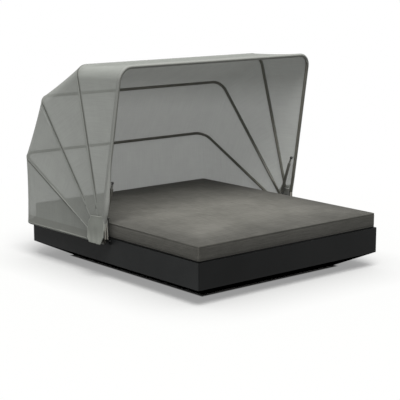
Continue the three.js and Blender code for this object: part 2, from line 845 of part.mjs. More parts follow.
// Reinforced flap that covers the pivot from outside
function makeFlap(side, name) {
  const nutEnd = frontPlane + lugThickness / 2 + seatGap + nutLength;
  const clothOuter = frontPlane + tubeRadius + seatGap + clothThickness;
  const face = Math.max(nutEnd, clothOuter) + seatGap;
  const grid = (lift) => {
    const rows = [];
    for (let r = 0; r <= flapSteps; r += 1) {
      const up = r / flapSteps;
      const front = -THREE.MathUtils.lerp(flapBottomFront, flapTopFront, up);
      const back = THREE.MathUtils.lerp(flapBottomBack, flapTopBack, up);
      const row = [];
      for (let c = 0; c <= flapSteps; c += 1) {
        const across = c / flapSteps;
        const topZ = THREE.MathUtils.lerp(flapTopFrontHeight, flapTopBackHeight, across);
        const bulge = flapBulge * (Math.sin(Math.PI * up) * Math.sin(Math.PI * across)) ** 2;
        const y = pivotY + THREE.MathUtils.lerp(front, back, across);
        const z = pivotZ + THREE.MathUtils.lerp(-flapBottomDrop, topZ, up);
        row.push(new THREE.Vector3(side * (face + lift + bulge), y, z));
      }
      rows.push(row);
    }
    return rows;
  };
  addMesh(daybed, name, sheet(grid(flapThickness), grid(0)), canopyMesh());
}

makeShell();
makeRibs();
makeDeck();
makeGlides();
makeMattress();
makeBracket(1, 'hinge_bracket_right');
makeBracket(-1, 'hinge_bracket_left');
makeScrews();
makePivot(1, 'right');
makePivot(-1, 'left');
makeHoop(hoops.hem, 'hem_hoop');
makeHoop(hoops.fourth, 'hoop_4');
makeHoop(hoops.third, 'hoop_3');
makeHoop(hoops.second, 'hoop_2');
const frontGroup = makeHoop(hoops.front, 'hoop_1');
for (const [side, letter] of [[1, 'right'], [-1, 'left']]) {
  makeFootStud(side, letter);
  makeHeadStud(frontGroup, side, letter);
  makeStay(side, letter);
  makeFlap(side, `pivot_flap_${letter}`);
}
makeBay(hoops.front, hoops.second, 'canopy_bay_1');
makeBay(hoops.second, hoops.third, 'canopy_bay_2');
makeBay(hoops.third, hoops.fourth, 'canopy_bay_3');
makeBay(hoops.fourth, hoops.hem, 'canopy_back');

export default daybed;
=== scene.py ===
import math

import bpy
import numpy as np
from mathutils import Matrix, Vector, kdtree, noise


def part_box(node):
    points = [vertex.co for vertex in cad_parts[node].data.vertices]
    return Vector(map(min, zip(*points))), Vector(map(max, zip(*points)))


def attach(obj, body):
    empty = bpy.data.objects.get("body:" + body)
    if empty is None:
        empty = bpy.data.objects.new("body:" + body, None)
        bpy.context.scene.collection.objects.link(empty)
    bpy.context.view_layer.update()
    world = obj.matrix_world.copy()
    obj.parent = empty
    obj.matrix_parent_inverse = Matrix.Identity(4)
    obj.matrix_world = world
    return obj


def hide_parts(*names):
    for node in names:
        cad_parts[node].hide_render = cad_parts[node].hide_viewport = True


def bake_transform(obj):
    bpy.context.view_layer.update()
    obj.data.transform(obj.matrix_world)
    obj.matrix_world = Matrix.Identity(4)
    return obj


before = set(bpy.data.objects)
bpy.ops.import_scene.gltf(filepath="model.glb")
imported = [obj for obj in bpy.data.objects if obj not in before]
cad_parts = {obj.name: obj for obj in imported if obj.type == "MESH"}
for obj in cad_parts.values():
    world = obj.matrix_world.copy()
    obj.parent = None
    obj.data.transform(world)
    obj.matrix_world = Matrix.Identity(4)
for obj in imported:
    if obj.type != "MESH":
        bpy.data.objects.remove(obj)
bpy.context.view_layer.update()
mm = 0.001
print("frame loaded")


# middle of a CAD node at rest
def middle(nodeName):
    low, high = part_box(nodeName)
    return (low + high) / 2


# sRGB hex to the linear colour that Blender wants
def linear(hexColour):
    parts = [int(hexColour[i:i + 2], 16) / 255 for i in (1, 3, 5)]
    return [p / 12.92 if p <= 0.04045 else ((p + 0.055) / 1.055) ** 2.4 for p in parts] + [1.0]


# empties the nodes of a material or a world and gives the function that adds one there
def nodeAdder(owner):
    owner.use_nodes = True
    tree = owner.node_tree
    tree.nodes.clear()

    # inputs are values, hex colours or sockets, settings are the node's attributes; gives back one output
    def add(kind, inputs=None, output=0, **settings):
        node = tree.nodes.new("ShaderNode" + kind)
        for name, value in settings.items():
            setattr(node, name, value)
        for name, value in (inputs or {}).items():
            if isinstance(value, bpy.types.NodeSocket):
                tree.links.new(value, node.inputs[name])
            else:
                node.inputs[name].default_value = linear(value) if isinstance(value, str) else value
        return node.outputs[output] if len(node.outputs) else None

    return add


# rotomoulded polyethylene, matt: a fine orange-peel skin with a dull broad sheen, scuffed paler on the rim
mouldedBase = {"deep": "#1a1b1b", "worn": "#222323", "scuff": "#3b3c3b", "under": "#060606",
               "frontPaintedLight": 1.9, "rearPaintedLight": 1.0, "paintedLightFrom": -0.9, "paintedLightTo": 0.3, "endShade": 0.45,
               "ledgeShade": 0.22, "grain": 1.6 * mm, "grainDepth": 0.15 * mm, "flow": 350 * mm,
               "dust": 30 * mm, "roughness": (0.44, 0.58), "rimReach": 5 * mm}


def polyethyleneMatt():
    b, rim = mouldedBase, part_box("base_shell")[1].z
    material = bpy.data.materials.new("polyethylene_moulded_matt")
    add = nodeAdder(material)
    place = add("TexCoord", output="Object")
    flow = add("TexNoise", {"Vector": place, "Scale": 1 / b["flow"], "Detail": 2.0})
    grain = add("TexNoise", {"Vector": place, "Scale": 1 / b["grain"], "Detail": 2.0})
    dust = add("TexNoise", {"Vector": place, "Scale": 1 / b["dust"], "Detail": 5.0})
    share = add("MapRange", {0: flow, 1: 0.3, 2: 0.7})
    tone = add("Mix", {0: share, 6: b["deep"], 7: b["worn"]}, 2, data_type="RGBA")
    # painted light and shade: the long sides are drawn paler, most toward the front, and the two ends are
    # drawn darker
    normal = add("TexCoord", output="Normal")
    endOn = add("Math", {0: add("SeparateXYZ", {0: normal}, "Y")}, operation="ABSOLUTE")
    along = add("SeparateXYZ", {0: place}, "Y")
    sidePaintedLight = add("MapRange", {0: along, 1: b["paintedLightFrom"], 2: b["paintedLightTo"], 3: b["frontPaintedLight"],
                                  4: b["rearPaintedLight"]})
    paintedLight = add("MapRange", {0: endOn, 1: 0.2, 2: 0.8, 3: sidePaintedLight, 4: b["endShade"]})
    tone = add("VectorMath", {0: tone, "Scale": paintedLight}, operation="SCALE")
    # painted shade: the drawn-in lower faces are drawn near black and fully matt
    facing = add("SeparateXYZ", {0: normal}, "Z")
    notUnderside = add("MapRange", {0: facing, 1: -0.5, 2: -0.2})
    tone = add("Mix", {0: notUnderside, 6: b["under"], 7: tone}, 2, data_type="RGBA")
    height = add("SeparateXYZ", {0: place}, "Z")
    onRim = add("MapRange", {0: height, 1: rim - b["rimReach"], 2: rim})
    rubbed = add("MapRange", {0: dust, 1: 0.5, 2: 0.68, 4: 0.6})
    worn = add("Math", {0: onRim, 1: rubbed}, operation="MULTIPLY")
    tone = add("Mix", {0: worn, 6: tone, 7: b["scuff"]}, 2, data_type="RGBA")
    # painted shade: every upward-facing face of the base, the ledge beside the mattress among them, is drawn
    # dark
    ledge = add("MapRange", {0: facing, 1: 0.5, 2: 0.8, 3: 1.0, 4: b["ledgeShade"]})
    shader = add("BsdfPrincipled", {
        "Base Color": add("VectorMath", {0: tone, "Scale": ledge}, operation="SCALE"),
        "Roughness": add("MapRange", {0: dust, 3: b["roughness"][0], 4: b["roughness"][1]}),
        "IOR": 1.5, "Specular IOR Level": 0.1,
        "Normal": add("Bump", {"Height": grain, "Strength": 0.25, "Distance": b["grainDepth"]})})
    # painted shade: a plain near-black diffuse for the downward faces
    paintedUnderShade = add("BsdfDiffuse", {"Color": b["under"]})
    add("OutputMaterial", {"Surface": add("MixShader", {0: notUnderside, 1: paintedUnderShade, 2: shader})})
    return material


# finish whose tone wanders and whose skin has a fine grain, both drawn out along an axis by stretch
def grainedFinish(f):
    material = bpy.data.materials.new(f["name"])
    add = nodeAdder(material)
    place = add("TexCoord", output="Object")
    along = add("Mapping", {"Vector": place, "Scale": f["stretch"]})
    noises = [add("TexNoise", {"Vector": along, "Scale": 1 / size, "Detail": detail})
              for size, detail in (f["grain"], f["tone"])]
    share = add("MapRange", {0: noises[1], 1: f["spread"][0], 2: f["spread"][1]})
    shader = add("BsdfPrincipled", {
        "Base Color": add("Mix", {0: share, 6: f["dark"], 7: f["light"]}, 2, data_type="RGBA"),
        "Roughness": f["roughness"], "IOR": f["ior"],
        "Normal": add("Bump", {"Height": noises[0], "Strength": 0.3, "Distance": f["relief"]})})
    add("OutputMaterial", {"Surface": shader})
    return material


# phenolic deck board, sawn and sealed: dull grey with faint sanding lines
deckBoard = {"name": "phenolic_board_sealed", "dark": "#3e3f3e", "light": "#565754", "stretch": (1, 0.06, 1),
             "grain": (4 * mm, 4.0), "tone": (4 * mm, 4.0), "spread": (0.3, 0.7), "roughness": 0.7,
             "ior": 1.5, "relief": 0.2 * mm}
# EPDM rubber, moulded: nearly black and dusty
glideRubber = {"name": "epdm_rubber_moulded", "dark": "#1b1b1b", "light": "#2a2a29", "stretch": (1, 1, 1),
               "grain": (3 * mm, 4.0), "tone": (3 * mm, 4.0), "spread": (0.35, 0.75), "roughness": 0.85,
               "ior": 1.52, "relief": 0.1 * mm}
# powder coat on metal: a satin skin with a fine orange peel that breaks up the highlight
powderCoat = {"stretch": (1, 1, 1), "grain": (1.2 * mm, 2.0), "tone": (120 * mm, 3.0), "spread": (0.3, 0.7),
              "ior": 1.5, "relief": 0.08 * mm}
bronzeHoops = {"name": "aluminium_powder_coated_bronze", "dark": "#605f57", "light": "#717067",
               "roughness": 0.42}
bronzeStays = {"name": "steel_powder_coated_bronze", "dark": "#55544e", "light": "#6b6a63", "roughness": 0.4}
blackKnobs = {"name": "steel_powder_coated_black", "dark": "#191919", "light": "#262626", "roughness": 0.38}


# stainless or zinc-plated steel, brushed along one axis: long fine scratches in the gloss; the real ones
# are about 0.1 mm, drawn coarser so that they show
brush = {"line": 0.8 * mm, "mark": 20 * mm, "depth": 0.05 * mm, "footBlack": "#1a1b1b"}


def steelBrushed(name, low, high, roughness, stretch, footTop=None):
    material = bpy.data.materials.new(name)
    add = nodeAdder(material)
    place = add("TexCoord", output="Object")
    along = add("Mapping", {"Vector": place, "Scale": stretch})
    lines = add("TexNoise", {"Vector": along, "Scale": 1 / brush["line"], "Detail": 3.0})
    marks = add("TexNoise", {"Vector": place, "Scale": 1 / brush["mark"], "Detail": 4.0})
    share = add("MapRange", {0: marks, 1: 0.3, 2: 0.7})
    tone = add("Mix", {0: share, 6: low, 7: high}, 2, data_type="RGBA")
    metal = 1.0
    if footTop:
        # the plate is drawn black and not metallic below footTop and on its faces turned to the front
        height = add("SeparateXYZ", {0: place}, "Z")
        aboveFoot = add("MapRange", {0: height, 1: footTop, 2: footTop + 1 * mm})
        facing = add("SeparateXYZ", {0: add("TexCoord", output="Normal")}, "Y")
        notFront = add("MapRange", {0: facing, 1: -0.6, 2: -0.4})
        metal = add("Math", {0: aboveFoot, 1: notFront}, operation="MULTIPLY")
        tone = add("Mix", {0: metal, 6: brush["footBlack"], 7: tone}, 2, data_type="RGBA")
    shader = add("BsdfPrincipled", {
        "Base Color": tone, "Metallic": metal, "Specular IOR Level": 0.1,
        "Roughness": add("MapRange", {0: lines, 3: roughness - 0.1, 4: roughness + 0.12}),
        "Normal": add("Bump", {"Height": lines, "Strength": 0.2, "Distance": brush["depth"]})})
    add("OutputMaterial", {"Surface": shader})
    return material


# noise of slubbed yarn, drawn out along each of the two directions of the cloth
def yarnNoises(add, place, size, stretch):
    noises = []
    for scale in ((stretch, 1, 1), (1, stretch, 1)):
        along = add("Mapping", {"Vector": place, "Scale": scale})
        noises.append(add("TexNoise", {"Vector": along, "Scale": 1 / size, "Detail": 3.0}))
    return noises


# distance from a value to the nearest of a few levels
def nearestLevel(add, value, levels):
    nearest = None
    for level in levels:
        off = add("Math", {0: value, 1: level}, operation="SUBTRACT")
        off = add("Math", {0: off}, operation="ABSOLUTE")
        nearest = add("Math", {0: off if nearest is None else nearest, 1: off}, operation="MINIMUM")
    return nearest


# solution-dyed acrylic cloth, plain woven: dry taupe grey, heathered; painted light makes the top paler than
# the sides and its middle paler than its edges
mattressCloth = {"dark": "#65645d", "light": "#85837c", "deepShade": 0.66, "rimShade": 0.50, "rimReach": 0.66,
                 "endShade": 0.57, "thread": 2.4 * mm, "fleck": 6 * mm, "slubStretch": 0.05,
                 "shadeSize": 400 * mm, "broadShare": 0.26, "relief": 0.5 * mm, "seamWidth": 2.2 * mm,
                 "seamShade": 0.62, "gap": (8 * mm, 14 * mm), "gapShade": 0.06}


def acrylicWoven():
    c, m = mattressCloth, mattress
    material = bpy.data.materials.new("acrylic_canvas_woven")
    add = nodeAdder(material)
    place = add("TexCoord", output="Object")
    # the real thread is about 0.8 mm; drawn three times as coarse so that it shows
    weave = None
    for direction in ("X", "Y", "Z"):
        # the wave texture repeats every 2 pi / 20 at scale 1
        rows = add("TexWave", {"Vector": place, "Scale": 2 * math.pi / (20 * c["thread"]), "Distortion": 0.4,
                               "Detail": 1.0}, "Fac", bands_direction=direction)
        weave = rows if weave is None else add("Math", {0: weave, 1: rows}, operation="ADD")
    lengthwise, crosswise = yarnNoises(add, place, c["fleck"], c["slubStretch"])
    slubs = add("Mix", {0: 0.5, 2: lengthwise, 3: crosswise})
    broad = add("TexNoise", {"Vector": place, "Scale": 1 / c["shadeSize"], "Detail": 3.0, "Roughness": 0.65})
    mottle = add("Mix", {0: c["broadShare"], 2: slubs, 3: broad})
    share = add("MapRange", {0: mottle, 1: 0.38, 2: 0.62})
    tone = add("Mix", {0: share, 6: c["dark"], 7: c["light"]}, 2, data_type="RGBA")
    normal = add("TexCoord", output="Normal")
    facing = add("SeparateXYZ", {0: normal}, "Z")
    # painted shade: the sides are drawn darker than the top
    paintedShade = add("MapRange", {0: facing, 1: 0.15, 2: 0.8, 3: c["deepShade"], 4: 1.0})
    # painted shade: the two end panels are drawn darker than the long sides
    endOn = add("Math", {0: add("SeparateXYZ", {0: normal}, "Y")}, operation="ABSOLUTE")
    endShade = add("MapRange", {0: endOn, 1: 0.5, 2: 0.9, 3: 1.0, 4: c["endShade"]})
    # painted light: the top is drawn palest in the middle and darker toward its edges, as under a lamp over
    # the middle
    parts = [add("SeparateXYZ", {0: place}, axis) for axis in ("X", "Y", "Z")]
    insets = []
    for part, half in ((parts[0], m["halfX"]), (parts[1], m["halfY"])):
        size = add("Math", {0: part}, operation="ABSOLUTE")
        insets.append(add("Math", {0: half, 1: size}, operation="SUBTRACT"))
    inset = add("Math", {0: insets[0], 1: insets[1]}, operation="MINIMUM")
    uneven = add("Math", {0: broad, 1: 0.3, 2: inset}, operation="MULTIPLY_ADD")
    rim = add("MapRange", {0: uneven, 1: 0.10, 2: c["rimReach"], 3: c["rimShade"], 4: 1.0},
                  interpolation_type="SMOOTHSTEP")
    onTop = add("MapRange", {0: facing, 1: 0.15, 2: 0.8})
    rimShade = add("Mix", {0: onTop, 2: 1.0, 3: rim})
    # each seam pulls the cloth in and holds a thin dark line: the seam's own dark joint, with painted shade
    # in its groove
    nearest = nearestLevel(add, parts[2], seamHeights())
    seamLine = add("MapRange", {0: nearest, 1: 0.3 * c["seamWidth"], 2: c["seamWidth"], 3: c["seamShade"],
                                4: 1.0})
    # painted shade: where the cover turns under toward the board it is drawn nearly black, for the shadow in
    # the gap
    gapLow, gapHigh = [m["bottom"] + height for height in c["gap"]]
    paintedGapShade = add("MapRange", {0: parts[2], 1: gapLow, 2: gapHigh, 3: c["gapShade"], 4: 1.0})
    paintedShade = add("Math", {0: paintedShade, 1: paintedGapShade}, operation="MULTIPLY")
    shade = add("Math", {0: paintedShade, 1: rimShade}, operation="MULTIPLY")
    shade = add("Math", {0: shade, 1: seamLine}, operation="MULTIPLY")
    shade = add("Math", {0: shade, 1: endShade}, operation="MULTIPLY")
    colour = add("VectorMath", {0: tone, "Scale": shade}, operation="SCALE")
    relief = add("Math", {0: weave, 1: 0.4, 2: slubs}, operation="MULTIPLY_ADD")
    shader = add("BsdfPrincipled", {
        "Base Color": colour, "Roughness": 0.92, "IOR": 1.45, "Specular IOR Level": 0.25,
        "Sheen Weight": 0.08, "Sheen Roughness": 0.5,
        "Normal": add("Bump", {"Height": relief, "Strength": 0.45, "Distance": c["relief"]})})
    add("OutputMaterial", {"Surface": shader})
    return material


# coated polyester mesh, woven open: pale silver yarn with holes, so it reads as grey and half see-through
canopyCloth = {"dark": "#c1c4bd", "light": "#cdd0c9", "thread": 3 * mm, "streak": 9 * mm,
               "streakStretch": 0.04, "crossShare": 0.68, "patch": 160 * mm, "relief": 0.35 * mm,
               "roofPaintedLight": 1.12, "open": 0.40, "slantOpen": 0.06, "glow": 0.05}


def polyesterMesh(name, dark, light, openShare, glow, stitches=None, pleats=None, facing=None):
    c = canopyCloth
    material = bpy.data.materials.new(name)
    add = nodeAdder(material)
    place = add("TexCoord", output="UV")
    # the real yarn is about 1 mm; drawn three times as coarse so that it shows
    rows = [add("TexWave", {"Vector": place, "Scale": 2 * math.pi / (20 * c["thread"]), "Distortion": 0.3,
                            "Detail": 1.0}, "Fac", bands_direction=direction)
            for direction in ("X", "Y")]
    weave = add("Math", {0: rows[0], 1: rows[1]}, operation="MAXIMUM")
    lengthwise, crosswise = yarnNoises(add, place, c["streak"], c["streakStretch"])
    thick = add("Mix", {0: c["crossShare"], 2: lengthwise, 3: crosswise})
    patch = add("TexNoise", {"Vector": place, "Scale": 1 / c["patch"], "Detail": 2.0})
    mottle = add("Mix", {0: 0.5, 2: thick, 3: patch})
    share = add("MapRange", {0: mottle, 1: 0.3, 2: 0.7})
    colour = add("Mix", {0: share, 6: dark, 7: light}, 2, data_type="RGBA")
    relief = add("Math", {0: weave, 1: thick}, operation="ADD")
    if stitches:
        # lock stitch along the strip: short thread dashes in rows at these distances across it
        across = add("SeparateXYZ", {0: place}, "Y")
        nearest = nearestLevel(add, across, stitches["rows"])
        half = stitches["thread"] / 2
        inRow = add("MapRange", {0: nearest, 1: half, 2: 1.4 * half, 3: 1.0, 4: 0.0})
        along = add("SeparateXYZ", {0: place}, "X")
        turn = add("Math", {0: along, 1: stitches["pitch"]}, operation="DIVIDE")
        part = add("Math", {0: turn}, operation="FRACT")
        dash = add("Math", {0: part, 1: stitches["dash"]}, operation="LESS_THAN")
        sewn = add("Math", {0: inRow, 1: dash}, operation="MULTIPLY")
        colour = add("Mix", {0: sewn, 6: colour, 7: stitches["yarn"]}, 2, data_type="RGBA")
        relief = add("Math", {0: sewn, 1: 2.0, 2: relief}, operation="MULTIPLY_ADD")
    if pleats:
        # painted shade: deep between the pleats the cloth is drawn dark
        across = add("SeparateXYZ", {0: place}, "X")
        turn = add("Math", {0: across, 1: 2 * math.pi / pleats["pitch"]}, operation="MULTIPLY")
        crest = add("Math", {0: turn}, operation="COSINE")
        deep = add("MapRange", {0: crest, 1: -0.7, 2: 0.6, 3: pleats["shade"], 4: 1.0})
        colour = add("VectorMath", {0: colour, "Scale": deep}, operation="SCALE")
    if facing:
        # along the hem the cloth is turned up and doubled: deeper in tone and less open
        toHem = add("SeparateXYZ", {0: place}, "Y")
        doubled = add("MapRange", {0: toHem, 1: -facing["height"], 2: 1 * mm - facing["height"]})
        colour = add("Mix", {0: doubled, 6: colour, 7: facing["colour"]}, 2, data_type="RGBA")
    # painted light: the upward-facing outside of the roof is drawn paler
    upward = add("SeparateXYZ", {0: add("TexCoord", output="Normal")}, "Z")
    paintedLight = add("MapRange", {0: upward, 1: 0.6, 2: 0.9, 3: 1.0, 4: c["roofPaintedLight"]})
    colour = add("VectorMath", {0: colour, "Scale": paintedLight}, operation="SCALE")
    normal = add("Bump", {"Height": relief, "Strength": 0.3, "Distance": c["relief"]})
    front = add("BsdfPrincipled", {
        "Base Color": colour, "Roughness": 0.8, "IOR": 1.45, "Specular IOR Level": 0.3,
        "Sheen Weight": 0.16, "Sheen Roughness": 0.3, "Normal": normal})
    back = add("BsdfTranslucent", {"Color": colour, "Normal": normal})
    yarn = add("MixShader", {0: glow, 1: front, 2: back})
    # light that falls on the cloth at a slant finds the holes half closed by the thickness of the yarn
    slanting = add("LightPath", output="Is Shadow Ray")
    closed = openShare * c["slantOpen"] / c["open"]
    holes = add("Mix", {0: slanting, 2: openShare, 3: closed})
    unevenHoles = add("MapRange", {0: thick, 1: 0.3, 2: 0.7, 3: 1.04, 4: 0.96})
    seenThrough = add("Math", {0: holes, 1: unevenHoles}, operation="MULTIPLY")
    if facing:
        kept = add("MapRange", {0: doubled, 3: 1.0, 4: facing["openShare"]})
        seenThrough = add("Math", {0: seenThrough, 1: kept}, operation="MULTIPLY")
    clear = add("BsdfTransparent")
    cloth = add("MixShader", {0: seenThrough, 1: yarn, 2: clear})
    add("OutputMaterial", {"Surface": cloth})
    return material


lockStitch = {"pitch": 5 * mm, "dash": 0.68, "thread": 1.2 * mm, "yarn": "#8e908a"}
seamStitch = {**lockStitch, "rows": (3.5 * mm, 9.5 * mm), "thread": 1.0 * mm, "yarn": "#8b8c86"}
sleeveStitch = {**lockStitch, "rows": (-16 * mm, 4 * mm)}
basePlastic = polyethyleneMatt()
deckFinish = grainedFinish(deckBoard)
rubber = grainedFinish(glideRubber)
hoopCoat = grainedFinish({**powderCoat, **bronzeHoops})
stayCoat = grainedFinish({**powderCoat, **bronzeStays})
blackCoat = grainedFinish({**powderCoat, **blackKnobs})
plateSteel = steelBrushed("stainless_steel_brushed", "#bcbdba", "#cfd0cd", 0.5, (1, 1, 0.04),
                          footTop=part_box("base_shell")[1].z + 15 * mm)
zincSteel = steelBrushed("zinc_plated_steel", "#8f908d", "#a9aaa6", 0.34, (0.3, 1, 1))
darkSteel = steelBrushed("zinc_plated_steel_black", "#777874", "#8e8f8a", 0.4, (0.3, 1, 1))
clothMesh = polyesterMesh("polyester_mesh_coated", canopyCloth["dark"], canopyCloth["light"],
                          canopyCloth["open"], canopyCloth["glow"])
hemFacing = {"height": 62 * mm, "colour": "#acaea7", "openShare": 0.7}
hemmedMesh = polyesterMesh("polyester_mesh_hemmed", canopyCloth["dark"], canopyCloth["light"],
                           canopyCloth["open"], canopyCloth["glow"], facing=hemFacing)
tapeCloth = polyesterMesh("polyester_seam_tape", "#adb0a9", "#b7bab3", 0.22, 0.05)
# painted shade: the seam ribs are drawn dark, for the seams and for the tubes and their shade seen through
# the mesh
seamCloth = polyesterMesh("polyester_seam_rib", "#6b6c67", "#767771", 0.0, 0.02, seamStitch)
frontCloth = polyesterMesh("polyester_front_rib", "#7d7e78", "#888983", 0.0, 0.03, seamStitch)
sleeveCloth = polyesterMesh("polyester_mesh_doubled", "#b4b6b0", "#c0c2bc", 0.24, 0.06, sleeveStitch)
hemCloth = polyesterMesh("polyester_hem_band", "#9b9d97", "#a7a9a3", 0.2, 0.05, sleeveStitch)
print("materials made")


# CAD nodes whose shape is right keep their mesh
nodeFinish = {
    "base_shell": basePlastic, "deck_": deckFinish, "glide_": rubber, "pivot_washer_": rubber,
    "hinge_bracket_": plateSteel, "bracket_screw_": blackCoat, "pivot_pin_": zincSteel,
    "pivot_nut_": zincSteel, "stay_foot_stud_": zincSteel, "stay_head_stud_": zincSteel,
}
for nodeName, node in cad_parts.items():
    for start, material in nodeFinish.items():
        if nodeName.startswith(start):
            node.data.materials.clear()
            node.data.materials.append(material)


# mesh object in the scene, on its body; mapPoints lay the cloth pattern out flat
def makePiece(name, points, faces, material, body=None, smooth=True, mapPoints=None):
    mesh = bpy.data.meshes.new(name)
    mesh.from_pydata([tuple(p) for p in points], [], faces)
    if mapPoints is not None:
        layer = mesh.uv_layers.new(name="ClothMap")
        for loop in mesh.loops:
            layer.data[loop.index].uv = mapPoints[loop.vertex_index]
    mesh.polygons.foreach_set("use_smooth", [smooth] * len(mesh.polygons))
    mesh.materials.append(material)
    mesh.update()
    piece = bpy.data.objects.new(name, mesh)
    bpy.context.scene.collection.objects.link(piece)
    if body:
        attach(piece, body)
    return piece


# gives a sheet its thickness, outwards for offset 1 and to both sides for 0
def thicken(piece, thickness, offset=0.0):
    solidify = piece.modifiers.new("thickness", "SOLIDIFY")
    solidify.thickness = thickness
    solidify.offset = offset


def facesArea(piece):
    return sum(polygon.area for polygon in piece.data.polygons)


# quads between rows of equal length
def gridFaces(rows, columns, closed=False, first=0):
    faces = []
    for r in range(rows - 1):
        for c in range(columns if closed else columns - 1):
            d = (c + 1) % columns
            faces.append((first + r * columns + c, first + r * columns + d,
                          first + (r + 1) * columns + d, first + (r + 1) * columns + c))
    return faces


# Hoops: all turn about the pins, and each has the CAD model's own sizes, in metres and degrees
pivot = Vector((0, *middle("pivot_pin_right").yz))
tube = {"radius": 11 * mm, "bend": 92 * mm, "lugReach": 272 * mm, "flatten": 60 * mm, "sides": 24,
        "lugThick": 2 * mm, "lugWide": 14 * mm, "footReach": 12 * mm, "steps": (26, 14, 12), "eyeSteps": 32,
        "eye": ((5.6, 2), (5.6, -2), (13.4, -2), (14, -1.4), (14, 1.4), (13.4, 2))}
hoops = {
    "hoop_1": {"leg": 1.278, "tilt": -9.86, "offset": 0.004, "half": 0.912, "plane": 0.935},
    "hoop_2": {"leg": 1.275, "tilt": 15.23, "offset": -0.008, "half": 0.905, "plane": 0.928},
    "hoop_3": {"leg": 1.268, "tilt": 39.66, "offset": 0.002, "half": 0.908, "plane": 0.921},
    "hoop_4": {"leg": 1.162, "tilt": 62.67, "offset": 0.020, "half": 0.914, "plane": 0.914},
    "hem_hoop": {"leg": 1.035, "tilt": 90.0, "offset": 0.013, "half": 0.924, "plane": 0.907},
}


def hoopAxes(hoop):
    tilt = math.radians(hoop["tilt"])
    return Vector((0, math.sin(tilt), math.cos(tilt))), Vector((0, math.cos(tilt), -math.sin(tilt)))


# places along one hoop from its right foot to its left: centre, outward direction and length so far;
# steps are those of the leg, the bend and half the bar
def hoopPlaces(hoop, start, steps):
    legSteps, bendSteps, barSteps = steps
    along, behind = hoopAxes(hoop)
    corner = Vector((hoop["half"], hoop["leg"]))
    foot = Vector((hoop["plane"], tube["lugReach"]))
    legWay = (corner - foot).normalized()
    legOut = Vector((legWay.y, -legWay.x))
    setBack = tube["bend"] * math.tan(math.acos(-legWay.x) / 2)
    bendStart = corner - legWay * setBack
    centre = bendStart - legOut * tube["bend"]
    flat = []
    for i in range(legSteps):
        reach = start + (bendStart.y - start) * i / legSteps
        x = hoop["plane"] if reach < foot.y else foot.x + (reach - foot.y) * legWay.x / legWay.y
        flat.append((x, reach, legOut if reach >= foot.y else Vector((1, 0))))
    first = math.atan2(legOut.y, legOut.x)
    for i in range(bendSteps + 1):
        angle = first + (math.pi / 2 - first) * i / bendSteps
        out = Vector((math.cos(angle), math.sin(angle)))
        flat.append((centre.x + out.x * tube["bend"], centre.y + out.y * tube["bend"], out))
    endX, endReach = flat[-1][0], flat[-1][1]
    for i in range(1, barSteps):
        flat.append((endX * (1 - i / barSteps), endReach, Vector((0, 1))))
    middle = [(0.0, endReach, Vector((0, 1)))]
    flat += middle + [(-x, reach, Vector((-out.x, out.y))) for x, reach, out in reversed(flat)]
    places, travelled, before = [], 0.0, None
    for x, reach, out in flat:
        point = pivot + along * reach + behind * hoop["offset"] + Vector((x, 0, 0))
        outward = (along * out.y + Vector((out.x, 0, 0))).normalized()
        travelled += (point - before).length if before is not None else 0.0
        before = point
        places.append({"point": point, "out": outward, "reach": reach, "length": travelled,
                       "barShare": max(0.0, out.y)})
    return places, behind


# point beside a hoop's centre line, turned by angle from straight outward toward the hoop's back
def aroundTube(place, behind, angle, ride):
    return place["point"] + (place["out"] * math.cos(angle) + behind * math.sin(angle)) * ride


# tube of a hoop, pressed flat at its feet and drilled for the pin
def makeHoop(name, body):
    hoop, t, sides = hoops[name], tube, tube["sides"]
    places, behind = hoopPlaces(hoop, t["footReach"], t["steps"])
    points = []
    for place in places:
        press = min(1.0, max(0.0, (place["reach"] - (t["lugReach"] - t["flatten"])) / t["flatten"]))
        press = press * press * (3 - 2 * press)
        thick = t["lugThick"] + (t["radius"] - t["lugThick"]) * press
        wide = t["lugWide"] + (t["radius"] - t["lugWide"]) * press
        square = 0.45 + 0.55 * press
        for i in range(sides):
            angle = 2 * math.pi * i / sides
            c, s = math.cos(angle), math.sin(angle)
            across = math.copysign(abs(c) ** square, c) * thick
            along = math.copysign(abs(s) ** (0.8 + 0.2 * press), s) * wide
            points.append(place["point"] + place["out"] * across + behind * along)
    faces = gridFaces(len(places), sides, closed=True)
    # rounded eye round the pin at each foot, its radius and its place across the lug in millimetres
    rings, turns = len(t["eye"]), t["eyeSteps"]
    for side in (1, -1):
        first = len(points)
        for radius, across in t["eye"]:
            for i in range(turns):
                angle = 2 * math.pi * i / turns
                y, z = math.cos(angle) * radius * mm, math.sin(angle) * radius * mm
                points.append(pivot + Vector((side * hoop["plane"] + across * mm, y, z)))
        faces += gridFaces(rings, turns, closed=True, first=first)
        last = first + (rings - 1) * turns
        for i in range(turns):
            j = (i + 1) % turns
            faces.append((last + i, last + j, first + j, first + i))
    piece = makePiece(name + "_tube", points, faces, hoopCoat, body)
    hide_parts(name)


hoopBodies = {name: "base" if name == "hem_hoop" else name for name in hoops}
for name, body in hoopBodies.items():
    makeHoop(name, body)
print("hoops made")


# Cloth: one sheet from hoop to hoop, laid round the top of each tube
canopy = {"lift": 1.2 * mm, "sagShare": 0.010, "startReach": 120 * mm, "steps": (30, 12, 20), "wrapSteps": 3,
          "spanSteps": 22}


